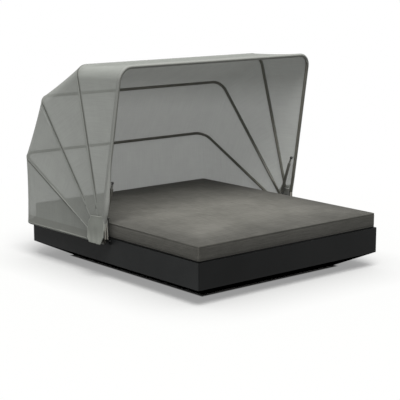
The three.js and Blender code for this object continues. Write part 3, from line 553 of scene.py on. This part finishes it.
# one row of the cloth across a bay, and how far each of its points is on the way from hoop to hoop
def clothRow(fore, foreBehind, aft, aftBehind):
    ride = tube["radius"] + canopy["lift"]
    way = (aft["point"] - fore["point"])
    chord = way.length
    way = way / chord
    foreWrap = max(0.0, math.atan2(-way.dot(fore["out"]), way.dot(foreBehind)))
    aftWrap = max(0.0, math.atan2(way.dot(aft["out"]), way.dot(aftBehind)))
    steps = canopy["wrapSteps"]
    row = [aroundTube(fore, foreBehind, foreWrap * i / steps, ride) for i in range(steps)]
    shares = [0.0] * steps
    a = aroundTube(fore, foreBehind, foreWrap, ride)
    b = aroundTube(aft, aftBehind, -aftWrap, ride)
    inward = -(fore["out"] + aft["out"]).normalized()
    for i in range(canopy["spanSteps"] + 1):
        share = i / canopy["spanSteps"]
        sag = canopy["sagShare"] * chord * 4 * share * (1 - share)
        row.append(a.lerp(b, share) + inward * sag)
        shares.append(share)
    row += [aroundTube(aft, aftBehind, -aftWrap * (1 - i / steps), ride) for i in range(1, steps + 1)]
    return row, shares + [1.0] * steps


# value whose smooth step is the given share
def unsmooth(share):
    return 0.5 - math.sin(math.asin(1 - 2 * share) / 3)


def makeBay(name, foreName, aftName, flatSize, flatArea):
    fores, foreBehind = hoopPlaces(hoops[foreName], canopy["startReach"], canopy["steps"])
    afts, aftBehind = hoopPlaces(hoops[aftName], canopy["startReach"], canopy["steps"])
    points, pattern, mapPoints = [], [], []
    for fore, aft in zip(fores, afts):
        row, shares = clothRow(fore, foreBehind, aft, aftBehind)
        # the weave is laid out from the rear edge of the bay
        crossed = -sum((b - a).length for a, b in zip(row, row[1:]))
        last = row[0]
        for point, share in zip(row, shares):
            crossed += (point - last).length
            last = point
            points.append(point)
            pattern.append((fore["length"], unsmooth(share), 0.0))
            mapPoints.append((fore["length"], crossed))
    faces = gridFaces(len(fores), len(points) // len(fores))
    material = hemmedMesh if aftName == "hem_hoop" else clothMesh
    piece = makePiece(name + "_cloth", pattern, faces, material, mapPoints=mapPoints)
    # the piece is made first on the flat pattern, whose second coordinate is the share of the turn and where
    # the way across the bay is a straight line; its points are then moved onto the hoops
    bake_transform(piece)
    piece.data.vertices.foreach_set("co", np.array(points, np.float32).ravel())
    piece.data.update()
    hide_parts(name)
    print(name, "cloth area", round(facesArea(piece), 3), "hoop length", round(fores[-1]["length"], 3))


# each bay's hoops, the size of its flat cut in metres and that cut's area
bays = {
    "canopy_bay_1": ("hoop_1", "hoop_2", (4.08, 0.60), 1.62),
    "canopy_bay_2": ("hoop_2", "hoop_3", (4.07, 0.58), 1.65),
    "canopy_bay_3": ("hoop_3", "hoop_4", (4.06, 0.55), 1.52),
    "canopy_back": ("hoop_4", "hem_hoop", (3.86, 0.57), 1.48),
}
for name, facts in bays.items():
    makeBay(name, *facts)
print("canopy cloth made")


# value of a curve given by a few places, eased between them
def valueAt(places, share):
    for (fromShare, fromValue), (toShare, toValue) in zip(places, places[1:]):
        if share <= toShare:
            part = max(0.0, (share - fromShare) / (toShare - fromShare))
            return fromValue + (toValue - fromValue) * part * part * (3 - 2 * part)
    return places[-1][1]


# strip that runs along a hoop, from one angle round the tube to another, both in degrees; lift is its
# distance off the cloth, steps is how many quads lie across it, and flare lifts its front edge off the tube
def hoopStrip(name, hoopName, fromAngle, toAngle, lift, material, thickness, steps, startReach=85 * mm,
              flare=None):
    places, behind = hoopPlaces(hoops[hoopName], startReach, canopy["steps"])
    points, mapPoints = [], []
    for place in places:
        low = fromAngle(place) if callable(fromAngle) else fromAngle
        high = toAngle(place) if callable(toAngle) else toAngle
        for i in range(steps + 1):
            angle = math.radians(low + (high - low) * i / steps)
            ride = tube["radius"] + canopy["lift"] + lift
            if flare:
                loose = flare["left" if place["point"].x < 0 else "right"]
                ride += valueAt(loose, place["reach"]) * max(0.0, -math.sin(angle)) ** 2
            points.append(aroundTube(place, behind, angle, ride))
            mapPoints.append((place["length"], ride * angle))
    faces = gridFaces(len(places), steps + 1)
    piece = makePiece(name, points, faces, material, hoopBodies[hoopName], mapPoints=mapPoints)
    thicken(piece, thickness, offset=1.0)


# low down on the left, the sleeve of the front hoop stands loose off its tube: reach and looseness
frontFlare = {
    "left": ((0.085, 0.0), (0.15, 0.018), (0.24, 0.033), (0.31, 0.033), (0.38, 0.024), (0.60, 0.009),
             (1.2, 0.007), (1.28, 0.002)),
    "right": ((0.085, 0.0), (0.3, 0.002), (1.3, 0.002)),
}
# tape under each seam: angles of its edges round the tube, and the reach where it starts
tapes = {"hoop_2": (-92, 64, 0.24), "hoop_3": (-78, 64, 0.30), "hoop_4": (-34, 76, 0.30)}
for name, (low, high, start) in tapes.items():
    hoopStrip(name + "_seam_tape", name, low, high, 0.3 * mm, tapeCloth, 0.5 * mm, 14, startReach=start)

# dark seam of each bay, drawn dark also as painted shade for the tube and its shadow seen through the mesh:
# on the left leg it is sewn in front of the tube, on the bar and the right leg over it; millimetres in front
# of the tube's crest, reach where it starts, and degrees that the cloth lies round the bar
ribCloth = 0.8 * mm
ribs = {
    "hoop_2": {"left": (15, 29), "bar": (-8, 5), "right": (-6, 6), "start": 0.28, "wrap": (-20.0, 12.0)},
    "hoop_3": {"left": (12, 24), "bar": (-10, 1), "right": (-6, 6), "start": 0.34, "wrap": (-35.0, 11.5)},
    "hoop_4": {"left": (-8, 3), "bar": (-9, 1), "right": (-6, 5), "start": 0.36, "wrap": (-40.0, 0.0)},
}


# point of the cloth's outer face at a distance in front of the crest of the tube
def clothFace(place, behind, distance, wrap):
    ride = tube["radius"] + canopy["lift"] + ribCloth
    rearmost, foremost = [ride * math.radians(turn) * place["barShare"] for turn in wrap]
    wrapped = max(rearmost, min(distance, foremost))
    angle = wrapped / ride
    onTube = place["out"] * math.cos(angle) - behind * math.sin(angle)
    along = -behind * math.cos(angle) - place["out"] * math.sin(angle)
    return place["point"] + onTube * ride + along * (distance - wrapped)


def makeSeamRib(hoopName):
    rib, steps = ribs[hoopName], 4
    places, behind = hoopPlaces(hoops[hoopName], rib["start"], canopy["steps"])
    points, mapPoints = [], []
    for place in places:
        leg = rib["left"] if place["point"].x < 0 else rib["right"]
        near, far = [(a + (b - a) * place["barShare"]) * mm for a, b in zip(leg, rib["bar"])]
        # it narrows to a point over its lowest 150 mm
        taper = min(1.0, 0.1 + 0.9 * max(0.0, (place["reach"] - rib["start"]) / (150 * mm)))
        for i in range(steps + 1):
            distance = (near + far) / 2 + (far - near) / 2 * taper * (2 * i / steps - 1)
            points.append(clothFace(place, behind, distance, rib["wrap"]))
            mapPoints.append((place["length"], distance - near))
    faces = gridFaces(len(places), steps + 1)
    piece = makePiece(hoopName + "_seam_rib", points, faces, seamCloth, hoopName, mapPoints=mapPoints)
    thicken(piece, ribCloth)


for name in ribs:
    makeSeamRib(name)

# seam of the front hoop, drawn dark also as painted shade for the tube seen through the sleeve: angle of its
# front edge and its width, both in degrees, the reach where it starts and the length over which it widens
frontRib = {"edge": -96, "width": 28, "start": 0.40, "widening": 0.30}


def frontRibEdge(place):
    opened = 0.1 + (place["reach"] - frontRib["start"]) / frontRib["widening"]
    return frontRib["edge"] + frontRib["width"] * min(1.0, opened)


# the sleeve of the front hoop reaches further round the bar than round the legs
def sleeveEdge(place):
    return -95 - 95 * place["barShare"]


hoopStrip("hoop_1_seam_rib", "hoop_1", frontRib["edge"], frontRibEdge, 1.5 * mm, frontCloth, ribCloth, 4,
          startReach=frontRib["start"], flare=frontFlare)
hoopStrip("front_binding", "hoop_1", sleeveEdge, 30, 0.4 * mm, sleeveCloth, 1.0 * mm, 18, flare=frontFlare)
hoopStrip("hem_binding", "hem_hoop", -20, 150, 0.4 * mm, hemCloth, 1.0 * mm, 14, startReach=120 * mm)
print("bindings made")


# Mattress: boxed foam in a sewn cover, as large as the CAD model's; the crown rises in the middle of its top
coverLow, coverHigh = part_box("mattress")
crown = 8 * mm
mattress = {"halfX": coverHigh.x, "halfY": coverHigh.y, "bottom": coverLow.z, "top": coverHigh.z - crown,
            "corner": 20 * mm, "topRound": 9 * mm, "bottomRound": 12 * mm, "seams": (12 * mm, 15 * mm),
            "seamDepth": 2.2 * mm, "seamWidth": 3 * mm, "drawIn": 4 * mm, "belly": 1.6 * mm,
            "ripple": 0.8 * mm, "wave": 1.5 * mm, "step": 24 * mm, "edge": (0, 3, 6, 9, 13, 19, 28, 40),
            "levels": (0, 3, 6, 9, 12, 15, 18, 24, 34, 48, 62, 76, 88, 92, 95, 98, 101, 104, 107, 110)}


# heights of the two seams that run round the cover
def seamHeights():
    return mattress["top"] - mattress["seams"][0], mattress["bottom"] + mattress["seams"][1]


# grid lines across one direction: close together at both ends
def gridLines(half, edge, step):
    near = [e * mm for e in edge]
    inner = 2 * half - 2 * near[-1]
    count = max(1, round(inner / step))
    middle = [near[-1] + inner * i / count for i in range(1, count)]
    return [d - half for d in near + middle + [2 * half - e for e in reversed(near)]]


# points and quads on the surface of a box grid
def boxGrid(xs, ys, zs):
    index, places, faces = {}, [], []

    def addFace(*corners):
        for i, j, k in corners:
            if (i, j, k) not in index:
                index[(i, j, k)] = len(places)
                places.append((xs[i], ys[j], zs[k]))
        faces.append([index[c] for c in corners])

    nx, ny, nz = len(xs) - 1, len(ys) - 1, len(zs) - 1
    for i in range(nx):
        for j in range(ny):
            addFace((i, j, nz), (i + 1, j, nz), (i + 1, j + 1, nz), (i, j + 1, nz))
            addFace((i, j, 0), (i, j + 1, 0), (i + 1, j + 1, 0), (i + 1, j, 0))
    for k in range(nz):
        for i in range(nx):
            addFace((i, 0, k), (i + 1, 0, k), (i + 1, 0, k + 1), (i, 0, k + 1))
            addFace((i, ny, k), (i, ny, k + 1), (i + 1, ny, k + 1), (i + 1, ny, k))
        for j in range(ny):
            addFace((0, j, k), (0, j, k + 1), (0, j + 1, k + 1), (0, j + 1, k))
            addFace((nx, j, k), (nx, j + 1, k), (nx, j + 1, k + 1), (nx, j, k + 1))
    return places, faces


# turns a box point into a point of the cover: rounded edges, round corners and, unless plain, seam grooves
def coverPoint(place, m, plain):
    x, y, z = place
    inset = min(m["halfX"] - abs(x), m["halfY"] - abs(y))
    upper = z > (m["top"] + m["bottom"]) / 2
    radius = m["topRound"] if upper else m["bottomRound"]
    limit = m["top"] - radius if upper else m["bottom"] + radius
    keptInset = max(inset, radius)
    keptZ = min(z, limit) if upper else max(z, limit)
    off = Vector((inset - keptInset, z - keptZ))
    if off.length > 1e-9:
        off = off.normalized() * radius
    newInset, newZ = keptInset + off.x, keptZ + off.y
    if not plain and inset < 1e-6:
        groove = sum(math.exp(-((newZ - seam) / m["seamWidth"]) ** 2) for seam in seamHeights())
        newInset += m["seamDepth"] * groove
    shift = newInset - inset
    dx, dy = abs(x) - (m["halfX"] - m["corner"]), abs(y) - (m["halfY"] - m["corner"])
    if dx > 0 and dy > 0:
        reach = max(dx, dy)
        scale = max(0.0, reach - shift) / math.hypot(dx, dy)
        px = m["halfX"] - m["corner"] + dx * scale
        py = m["halfY"] - m["corner"] + dy * scale
    elif m["halfX"] - abs(x) < m["halfY"] - abs(y):
        px, py = abs(x) - shift, abs(y)
    else:
        px, py = abs(x), abs(y) - shift
    return Vector((math.copysign(px, x), math.copysign(py, y), newZ))


def makeMattress():
    m = mattress
    xs, ys = gridLines(m["halfX"], m["edge"], m["step"]), gridLines(m["halfY"], m["edge"], m["step"])
    depth = m["top"] - m["bottom"]
    zs = [m["bottom"] + depth * level / m["levels"][-1] for level in m["levels"]]
    places, faces = boxGrid(xs, ys, zs)
    points = [coverPoint(p, m, False) for p in places]
    # how far the filled cover swells at each point, from a cloth simulation on a coarser cover
    swell = swollenCover()
    for point, place in zip(points, places):
        u, v = place[0] / m["halfX"], place[1] / m["halfY"]
        high = place[2] >= m["top"] - 1e-6
        side = m["bottom"] + 1e-6 < place[2] < m["top"] - 1e-6
        if high:
            dome = (1 - abs(u) ** 7) * (1 - abs(v) ** 7)
            point.z += crown * dome
            wave = noise.noise(Vector((point.x * 2.3, point.y * 2.3, 3.1)))
            fine = noise.noise(Vector((point.x * 9, point.y * 5, 7.7)))
            point.z += (m["wave"] * wave + 0.25 * m["wave"] * fine) * dome
        if side:
            # the sides draw in between the corners and bulge a little at half height
            belly = math.sin(math.pi * (place[2] - m["bottom"]) / depth)
            ripple = noise.noise(Vector((point.x * 7, point.y * 7, point.z * 9)))
            drawn = m["drawIn"] * (1 - (u * u if abs(v) > 0.999 else v * v))
            pull = drawn - (m["belly"] + m["ripple"] * ripple) * belly
            if abs(u) > 0.999:
                point.x -= math.copysign(pull, point.x)
            elif abs(v) > 0.999:
                point.y -= math.copysign(pull, point.y)
        point += swell(point)
    piece = makePiece("mattress_cover", points, faces, mattressFabric)
    smooth = piece.modifiers.new("smooth", "SUBSURF")
    smooth.levels = smooth.render_levels = 1
    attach(piece, "mattress")
    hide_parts("mattress")


# cloth simulation of the filled cover: its seams are held and its panels are blown outwards
cushion = {"step": 34 * mm, "edge": (0, 17), "frames": 20, "pressure": 4.0, "mass": 0.4, "stiffness": 40,
           "cap": 7 * mm, "share": 0.5}


def swollenCover():
    m, c = mattress, cushion
    xs, ys = gridLines(m["halfX"], c["edge"], c["step"]), gridLines(m["halfY"], c["edge"], c["step"])
    depth = m["top"] - m["bottom"]
    zs = [m["bottom"] + depth * i / 4 for i in range(5)]
    places, faces = boxGrid(xs, ys, zs)
    rest = [coverPoint(p, m, True) for p in places]
    piece = makePiece("mattress_sim", rest, faces, mattressFabric)
    held = [i for i, p in enumerate(places)
            if p[2] <= m["bottom"] + 1e-6
            or (p[2] >= m["top"] - 1e-6 and min(m["halfX"] - abs(p[0]), m["halfY"] - abs(p[1])) < 1e-6)]
    group = piece.vertex_groups.new(name="seams")
    group.add(held, 1.0, "REPLACE")
    cloth = piece.modifiers.new("cloth", "CLOTH")
    settings = cloth.settings
    settings.use_pressure = True
    settings.uniform_pressure_force = c["pressure"]
    settings.effector_weights.gravity = 0
    settings.vertex_group_mass = "seams"
    settings.mass = c["mass"]
    settings.tension_stiffness = settings.compression_stiffness = c["stiffness"]
    scene = bpy.context.scene
    scene.frame_start, scene.frame_end = 1, c["frames"]
    for step in range(1, c["frames"] + 1):
        scene.frame_set(step)
    solved = piece.evaluated_get(bpy.context.evaluated_depsgraph_get()).to_mesh()
    moves = [solved.vertices[i].co - rest[i] for i in range(len(rest))]
    scene.frame_set(1)
    bpy.data.objects.remove(piece, do_unlink=True)
    tree = kdtree.KDTree(len(rest))
    for i, p in enumerate(rest):
        tree.insert(p, i)
    tree.balance()
    limited = [v * (min(v.length, c["cap"]) / v.length) if v.length > 1e-9 else v for v in moves]
    print("mattress cover simulated, largest move", round(max(v.length for v in moves), 4))

    def swell(point):
        total, weights = Vector((0, 0, 0)), 0.0
        for place, i, gap in tree.find_n(point, 5):
            weight = 1 / (gap + 4 * mm) ** 2
            total += limited[i] * weight
            weights += weight
        return total / weights * c["share"]

    return swell


mattressFabric = acrylicWoven()
makeMattress()
print("mattress made")


# turned piece: rings of a radius and a distance along an axis, both in millimetres
def turnedPoints(profile, base, axis, steps=28):
    axis = axis.normalized()
    sideA = axis.orthogonal().normalized()
    sideB = axis.cross(sideA)
    points = []
    for radius, distance in profile:
        for i in range(steps):
            angle = 2 * math.pi * i / steps
            spoke = sideA * math.cos(angle) + sideB * math.sin(angle)
            points.append(base + axis * (distance * mm) + spoke * (radius * mm))
    faces = gridFaces(len(profile), steps, closed=True)
    faces.append(tuple(reversed(range(steps))))
    faces.append(tuple(range((len(profile) - 1) * steps, len(profile) * steps)))
    return points, faces


def joinParts(parts):
    points, faces = [], []
    for partPoints, partFaces in parts:
        first = len(points)
        points += partPoints
        faces += [tuple(first + i for i in face) for face in partFaces]
    return points, faces


# keeps the edges of a smooth piece sharp where its faces meet at a clear angle
def keepEdges(piece, angle=32):
    piece.data.set_sharp_from_angle(angle=math.radians(angle))


# Stays: a bronze tube with a grey rod that ends in a round black knob, all sizes in millimetres
stay = {"tubeEnd": 252, "tubeRadius": 11.5, "rodStart": 100, "rodRadius": 7, "rodShift": 3, "knobShift": 6,
        "eye": 11, "eyeHalf": 7}


def makeStay(side, letter):
    s = stay
    plane = middle("stay_cylinder_" + letter).x
    foot = Vector((plane, *middle("stay_foot_stud_" + letter).yz))
    head = Vector((plane, *middle("stay_head_stud_" + letter).yz))
    way = (head - foot).normalized()
    across = Vector((1, 0, 0))
    r, rod, end, e, w = s["tubeRadius"], s["rodRadius"], s["tubeEnd"], s["eye"], s["eyeHalf"]
    length = (head - foot).length / mm
    # the tube has a rolled groove near its end
    tubeProfile = [(5.5, 7), (r - 1, 11), (r, 14), (r, end - 18), (r - 1.4, end - 16.5),
                   (r - 1.4, end - 14.5), (r, end - 13), (r, end - 3), (r - 1.5, end), (rod + 0.5, end)]
    eyeProfile = [(e - 5, -w), (e - 1, -w), (e, -w + 1), (e, w - 1), (e - 1, w), (e - 5, w)]
    rodProfile = [(rod, s["rodStart"]), (rod, length - 16), (7, length - 13), (7, length - 8)]
    knobProfile = [(e - 4, -w), (e - 1.5, -w + 0.5), (e, -w + 3), (e, w - 3), (e - 1.5, w - 0.5), (e - 4, w)]
    rodFoot = foot + Vector((side * s["rodShift"] * mm, 0, 0))
    knobPlace = head + Vector((side * s["knobShift"] * mm, 0, 0))
    barrel = joinParts([turnedPoints(tubeProfile, foot, way), turnedPoints(eyeProfile, foot, across)])
    bar = turnedPoints(rodProfile, rodFoot, way)
    ball = turnedPoints(knobProfile, knobPlace, across)
    tubePiece = makePiece("stay_tube_" + letter, *barrel, stayCoat, "stay_cylinder_" + letter)
    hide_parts("stay_cylinder_" + letter)
    rodPiece = makePiece("stay_rod_bar_" + letter, *bar, darkSteel, "stay_rod_" + letter)
    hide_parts("stay_rod_" + letter)
    knobPiece = makePiece("stay_knob_" + letter, *ball, blackCoat, "stay_rod_" + letter)
    for piece in (tubePiece, rodPiece, knobPiece):
        keepEdges(piece)


# Flaps: reinforced cloth over each pivot, its front edge turned in; front, back and turnIn run from the top
# edge to the bottom edge
flap = {"face": 0.9508, "thickness": 0.8 * mm, "bulge": 3 * mm, "ripple": 2.2 * mm, "curl": 10 * mm,
        "drawn": {"left": 0.0, "right": 0.034}, "turnShare": {"left": 1.0, "right": 0.25},
        "turnRadius": 7 * mm, "turnFrom": 20 * mm, "top": 0.476, "topDrop": 0.012, "bottom": 0.268,
        "rows": 44, "columns": 30, "turnColumns": 12, "size": (0.225, 0.210), "area": 0.0405,
        "front": ((0.0, -0.041), (0.2, -0.044), (0.45, -0.041), (0.72, -0.029), (0.92, -0.014),
                  (1.0, -0.006)),
        "back": ((0.0, 0.110), (0.3, 0.147), (0.6, 0.160), (0.85, 0.157), (1.0, 0.128)),
        "turnIn": ((0.0, 0.026), (0.22, 0.038), (0.45, 0.026), (0.7, 0.010), (0.9, 0.0), (1.0, 0.0))}
# two rows of stitching along its bottom edge and one along its top edge
flapRows = (flap["bottom"] + 8 * mm, flap["bottom"] + 14 * mm, flap["top"] - 10 * mm)
flapCloth = polyesterMesh("polyester_cloth_reinforced", "#a1a49c", "#afb2aa", 0.10, 0.06,
                          {**lockStitch, "rows": flapRows})


def makeFlap(side, letter):
    f = flap
    face = f["face"] + f["ripple"] * 0.6
    points, mapPoints = [], []
    for r in range(f["rows"] + 1):
        down = r / f["rows"]
        z = f["top"] + (f["bottom"] - f["top"]) * down
        front, back = valueAt(f["front"], down) + f["drawn"][letter], valueAt(f["back"], down)
        turnIn = valueAt(f["turnIn"], down) * f["turnShare"][letter]
        bend = f["turnRadius"] * min(1.0, turnIn / f["turnFrom"])
        # the front edge goes round a small bend and then inwards, toward the mattress
        for c in range(f["turnColumns"]):
            inward = turnIn * (1 - c / f["turnColumns"]) ** 1.2
            ease = math.exp(-inward / max(bend, 1e-4))
            wave = 1.5 * mm * math.sin(inward * 190 + 6 * down) * (1 - ease)
            points.append(Vector((side * (face - inward), front + wave + bend * 0.6 * ease, z)))
            mapPoints.append((front - inward, z))
        for c in range(f["columns"] + 1):
            share = c / f["columns"]
            start = front + bend * 0.6
            y = start + (back - start) * share
            drop = f["topDrop"] * max(0.0, share - 0.1) * (1 - down)
            bulge = math.sin(math.pi * min(1.0, down / 0.87)) ** 2 * math.sin(math.pi * share) ** 2
            # soft folds fan out from the pivot and grow toward the bottom edge, which curls outwards
            fan = math.atan2(y - 0.02, z - 0.05)
            folds = math.sin(fan * 26 + 1.2) * down ** 1.5 * min(1.0, share * 6)
            curl = max(0.0, (down - 0.5) / 0.5) ** 2
            out = f["bulge"] * bulge + f["ripple"] * folds * 0.6 + f["curl"] * curl
            points.append(Vector((side * (face + out), y, z - drop)))
            mapPoints.append((y, z))
    faces = gridFaces(f["rows"] + 1, f["turnColumns"] + f["columns"] + 1)
    piece = makePiece("flap_cloth_" + letter, points, faces, flapCloth, "base", mapPoints=mapPoints)
    thicken(piece, f["thickness"])
    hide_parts("pivot_flap_" + letter)
    print("flap area", round(facesArea(piece), 4))


# Gathered ends of the bays: a little curtain of pleats in front of each bracket
gather = {"outer": 0.944, "innerTop": 0.914, "innerBottom": 0.906, "face": -0.0405, "depth": 7 * mm,
          "pleats": 1.85, "crest": 0.22, "flatWidth": 0.11, "sway": 0.9 * mm, "drop": 6 * mm,
          "shift": {"left": 0.0, "right": -0.014}, "top": 0.428, "bottom": 0.309, "rows": 24, "columns": 96,
          "thickness": 1.0 * mm, "size": (0.066, 0.119)}
pleatShade = {"pitch": gather["flatWidth"] / gather["pleats"], "shade": 0.12}
gatheredMesh = polyesterMesh("polyester_mesh_gathered", "#96938a", "#a7a49a", 0.0, 0.0, pleats=pleatShade)


def makeGather(side, letter):
    g = gather
    points, mapPoints = [], []
    for r in range(g["rows"] + 1):
        down = r / g["rows"]
        z = g["top"] + (g["bottom"] - g["top"]) * down
        inner = g["innerTop"] + (g["innerBottom"] - g["innerTop"]) * down
        for c in range(g["columns"] + 1):
            share = c / g["columns"]
            turn = 2 * math.pi * g["pleats"] * (share - g["crest"]) + 0.5 * math.sin(2.4 * down)
            x = g["outer"] + (inner - g["outer"]) * share + g["sway"] * math.sin(2 * turn)
            y = g["face"] - g["depth"] * math.cos(turn) * (0.45 + 0.55 * down)
            points.append(Vector((side * (x + g["shift"][letter]), y, z - g["drop"] * share * down)))
            mapPoints.append((g["flatWidth"] * (share - g["crest"]), z))
    faces = gridFaces(g["rows"] + 1, g["columns"] + 1)
    piece = makePiece("gathered_cloth_" + letter, points, faces, gatheredMesh, "base", mapPoints=mapPoints)
    thicken(piece, g["thickness"])
    print("gathered cloth area", round(facesArea(piece), 4))


for side, letter in ((1, "right"), (-1, "left")):
    makeStay(side, letter)
    makeFlap(side, letter)
    makeGather(side, letter)
print("stays and flaps made")


# Stage: pale floor, one broad soft lamp from above, a little from the front and the left
stage = {"halfSize": 30.0, "floor": "#f4f4f2", "bounceFloor": "#707070", "shadowShare": 0.50,
         "plinthInset": 203 * mm, "shadeReach": 0.5, "shadeDepth": 0.40, "fadeFrom": 1.9, "fadeTo": 4.0,
         "behindNear": "#adaead", "behindFar": "#7f807f", "behindFrom": 10.0, "behindTo": 15.0,
         "white": "#ffffff", "sky": "#f6f7f8", "skyStrength": 0.24, "sunWay": (-0.30, -0.47, 0.98),
         "sunPower": 3.2, "sunAngle": 34.0}


# rays that see the white backdrop, and whether they have come through the canopy mesh,
# behind which the studio is dim
def seenRays(add):
    kinds = ("Camera", "Glossy", "Transmission")
    rays = [add("LightPath", output="Is " + kind + " Ray") for kind in kinds]
    either = add("Math", {0: rays[0], 1: rays[1]}, operation="MAXIMUM")
    seen = add("Math", {0: either, 1: rays[2]}, operation="MAXIMUM")
    depth = add("LightPath", output="Transparent Depth")
    return seen, add("Math", {0: depth, 1: 1.0}, operation="MINIMUM")


def makeStage():
    size = stage["halfSize"]
    corners = [(-size, -size, 0), (size, -size, 0), (size, size, 0), (-size, size, 0)]
    floor = makePiece("floor", corners, [(0, 1, 2, 3)], floorPaint(), smooth=False)
    world = bpy.data.worlds.new("studio")
    bpy.context.scene.world = world
    add = nodeAdder(world)
    seen, behind = seenRays(add)
    sky = add("Background", {"Color": stage["sky"], "Strength": stage["skyStrength"]})
    colour = add("Mix", {0: behind, 6: stage["white"], 7: stage["behindFar"]}, 2, data_type="RGBA")
    white = add("Background", {"Color": colour, "Strength": 1.0})
    add("OutputWorld", {"Surface": add("MixShader", {0: seen, 1: sky, 2: white})})
    sun = bpy.data.lights.new("studio_sun", "SUN")
    sun.energy = stage["sunPower"]
    sun.angle = math.radians(stage["sunAngle"])
    holder = bpy.data.objects.new("studio_sun", sun)
    holder.rotation_euler = Vector(stage["sunWay"]).to_track_quat("Z", "Y").to_euler()
    bpy.context.scene.collection.objects.link(holder)


# white painted floor: the camera sees it pale with the shadow on it, and it runs out to plain white
def floorPaint():
    material = bpy.data.materials.new("studio_floor_paint")
    add = nodeAdder(material)
    seen, behind = seenRays(add)
    colour = add("Mix", {0: seen, 6: stage["bounceFloor"], 7: stage["floor"]}, 2, data_type="RGBA")
    paint = add("BsdfDiffuse", {"Color": colour})
    place = add("TexCoord", output="Object")
    distance = add("VectorMath", {0: place}, "Value", operation="LENGTH")
    farShare = add("MapRange", {0: distance, 1: stage["behindFrom"], 2: stage["behindTo"]})
    dim = add("Mix", {0: farShare, 6: stage["behindNear"], 7: stage["behindFar"]}, 2, data_type="RGBA")
    backdrop = add("Mix", {0: behind, 6: stage["white"], 7: dim}, 2, data_type="RGBA")
    # the object takes some of the backdrop's light from the floor round it
    openSky = add("AmbientOcclusion", {"Distance": stage["shadeReach"]}, "AO", samples=8)
    lit = add("MapRange", {0: openSky, 1: 0.5, 2: 1.0, 3: 1 - stage["shadeDepth"], 4: 1.0})
    notBehind = add("Math", {0: lit, 1: behind}, operation="MAXIMUM")
    white = add("Emission", {"Color": backdrop, "Strength": notBehind})
    # right under the base the shadow is deep, beside it the white backdrop lightens it
    reach = []
    for axis, half in zip(("X", "Y"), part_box("base_shell")[1].xy):
        part = add("Math", {0: add("SeparateXYZ", {0: place}, axis)}, operation="ABSOLUTE")
        reach.append(add("Math", {0: part, 1: half - stage["plinthInset"]}, operation="SUBTRACT"))
    outside = add("Math", {0: reach[0], 1: reach[1]}, operation="MAXIMUM")
    nearShare = add("MapRange", {0: outside, 1: -6 * mm, 2: 8 * mm, 3: 0.0, 4: 1 - stage["shadowShare"]})
    fadeOut = {0: distance, 1: stage["fadeFrom"], 2: stage["fadeTo"], 3: nearShare, 4: 1.0}
    fade = add("MapRange", fadeOut, interpolation_type="SMOOTHSTEP")
    plain = add("Math", {0: fade, 1: behind}, operation="MAXIMUM")
    share = add("Math", {0: plain, 1: seen}, operation="MULTIPLY")
    add("OutputMaterial", {"Surface": add("MixShader", {0: share, 1: paint, 2: white})})
    return material


makeStage()

# Camera fitted to the photograph
view = {"place": (-6.043, -7.110, 2.282), "turn": -40.29, "down": 10.965, "lens": 112.25}
camera = bpy.data.objects.new("camera", bpy.data.cameras.new("camera"))
camera.location = view["place"]
camera.rotation_euler = (math.radians(90 - view["down"]), 0, math.radians(view["turn"]))
camera.data.lens = view["lens"]
camera.data.sensor_width = 36
bpy.context.scene.collection.objects.link(camera)
bpy.context.scene.camera = camera
bpy.context.scene.view_settings.view_transform = "Standard"
print("stage and camera set")
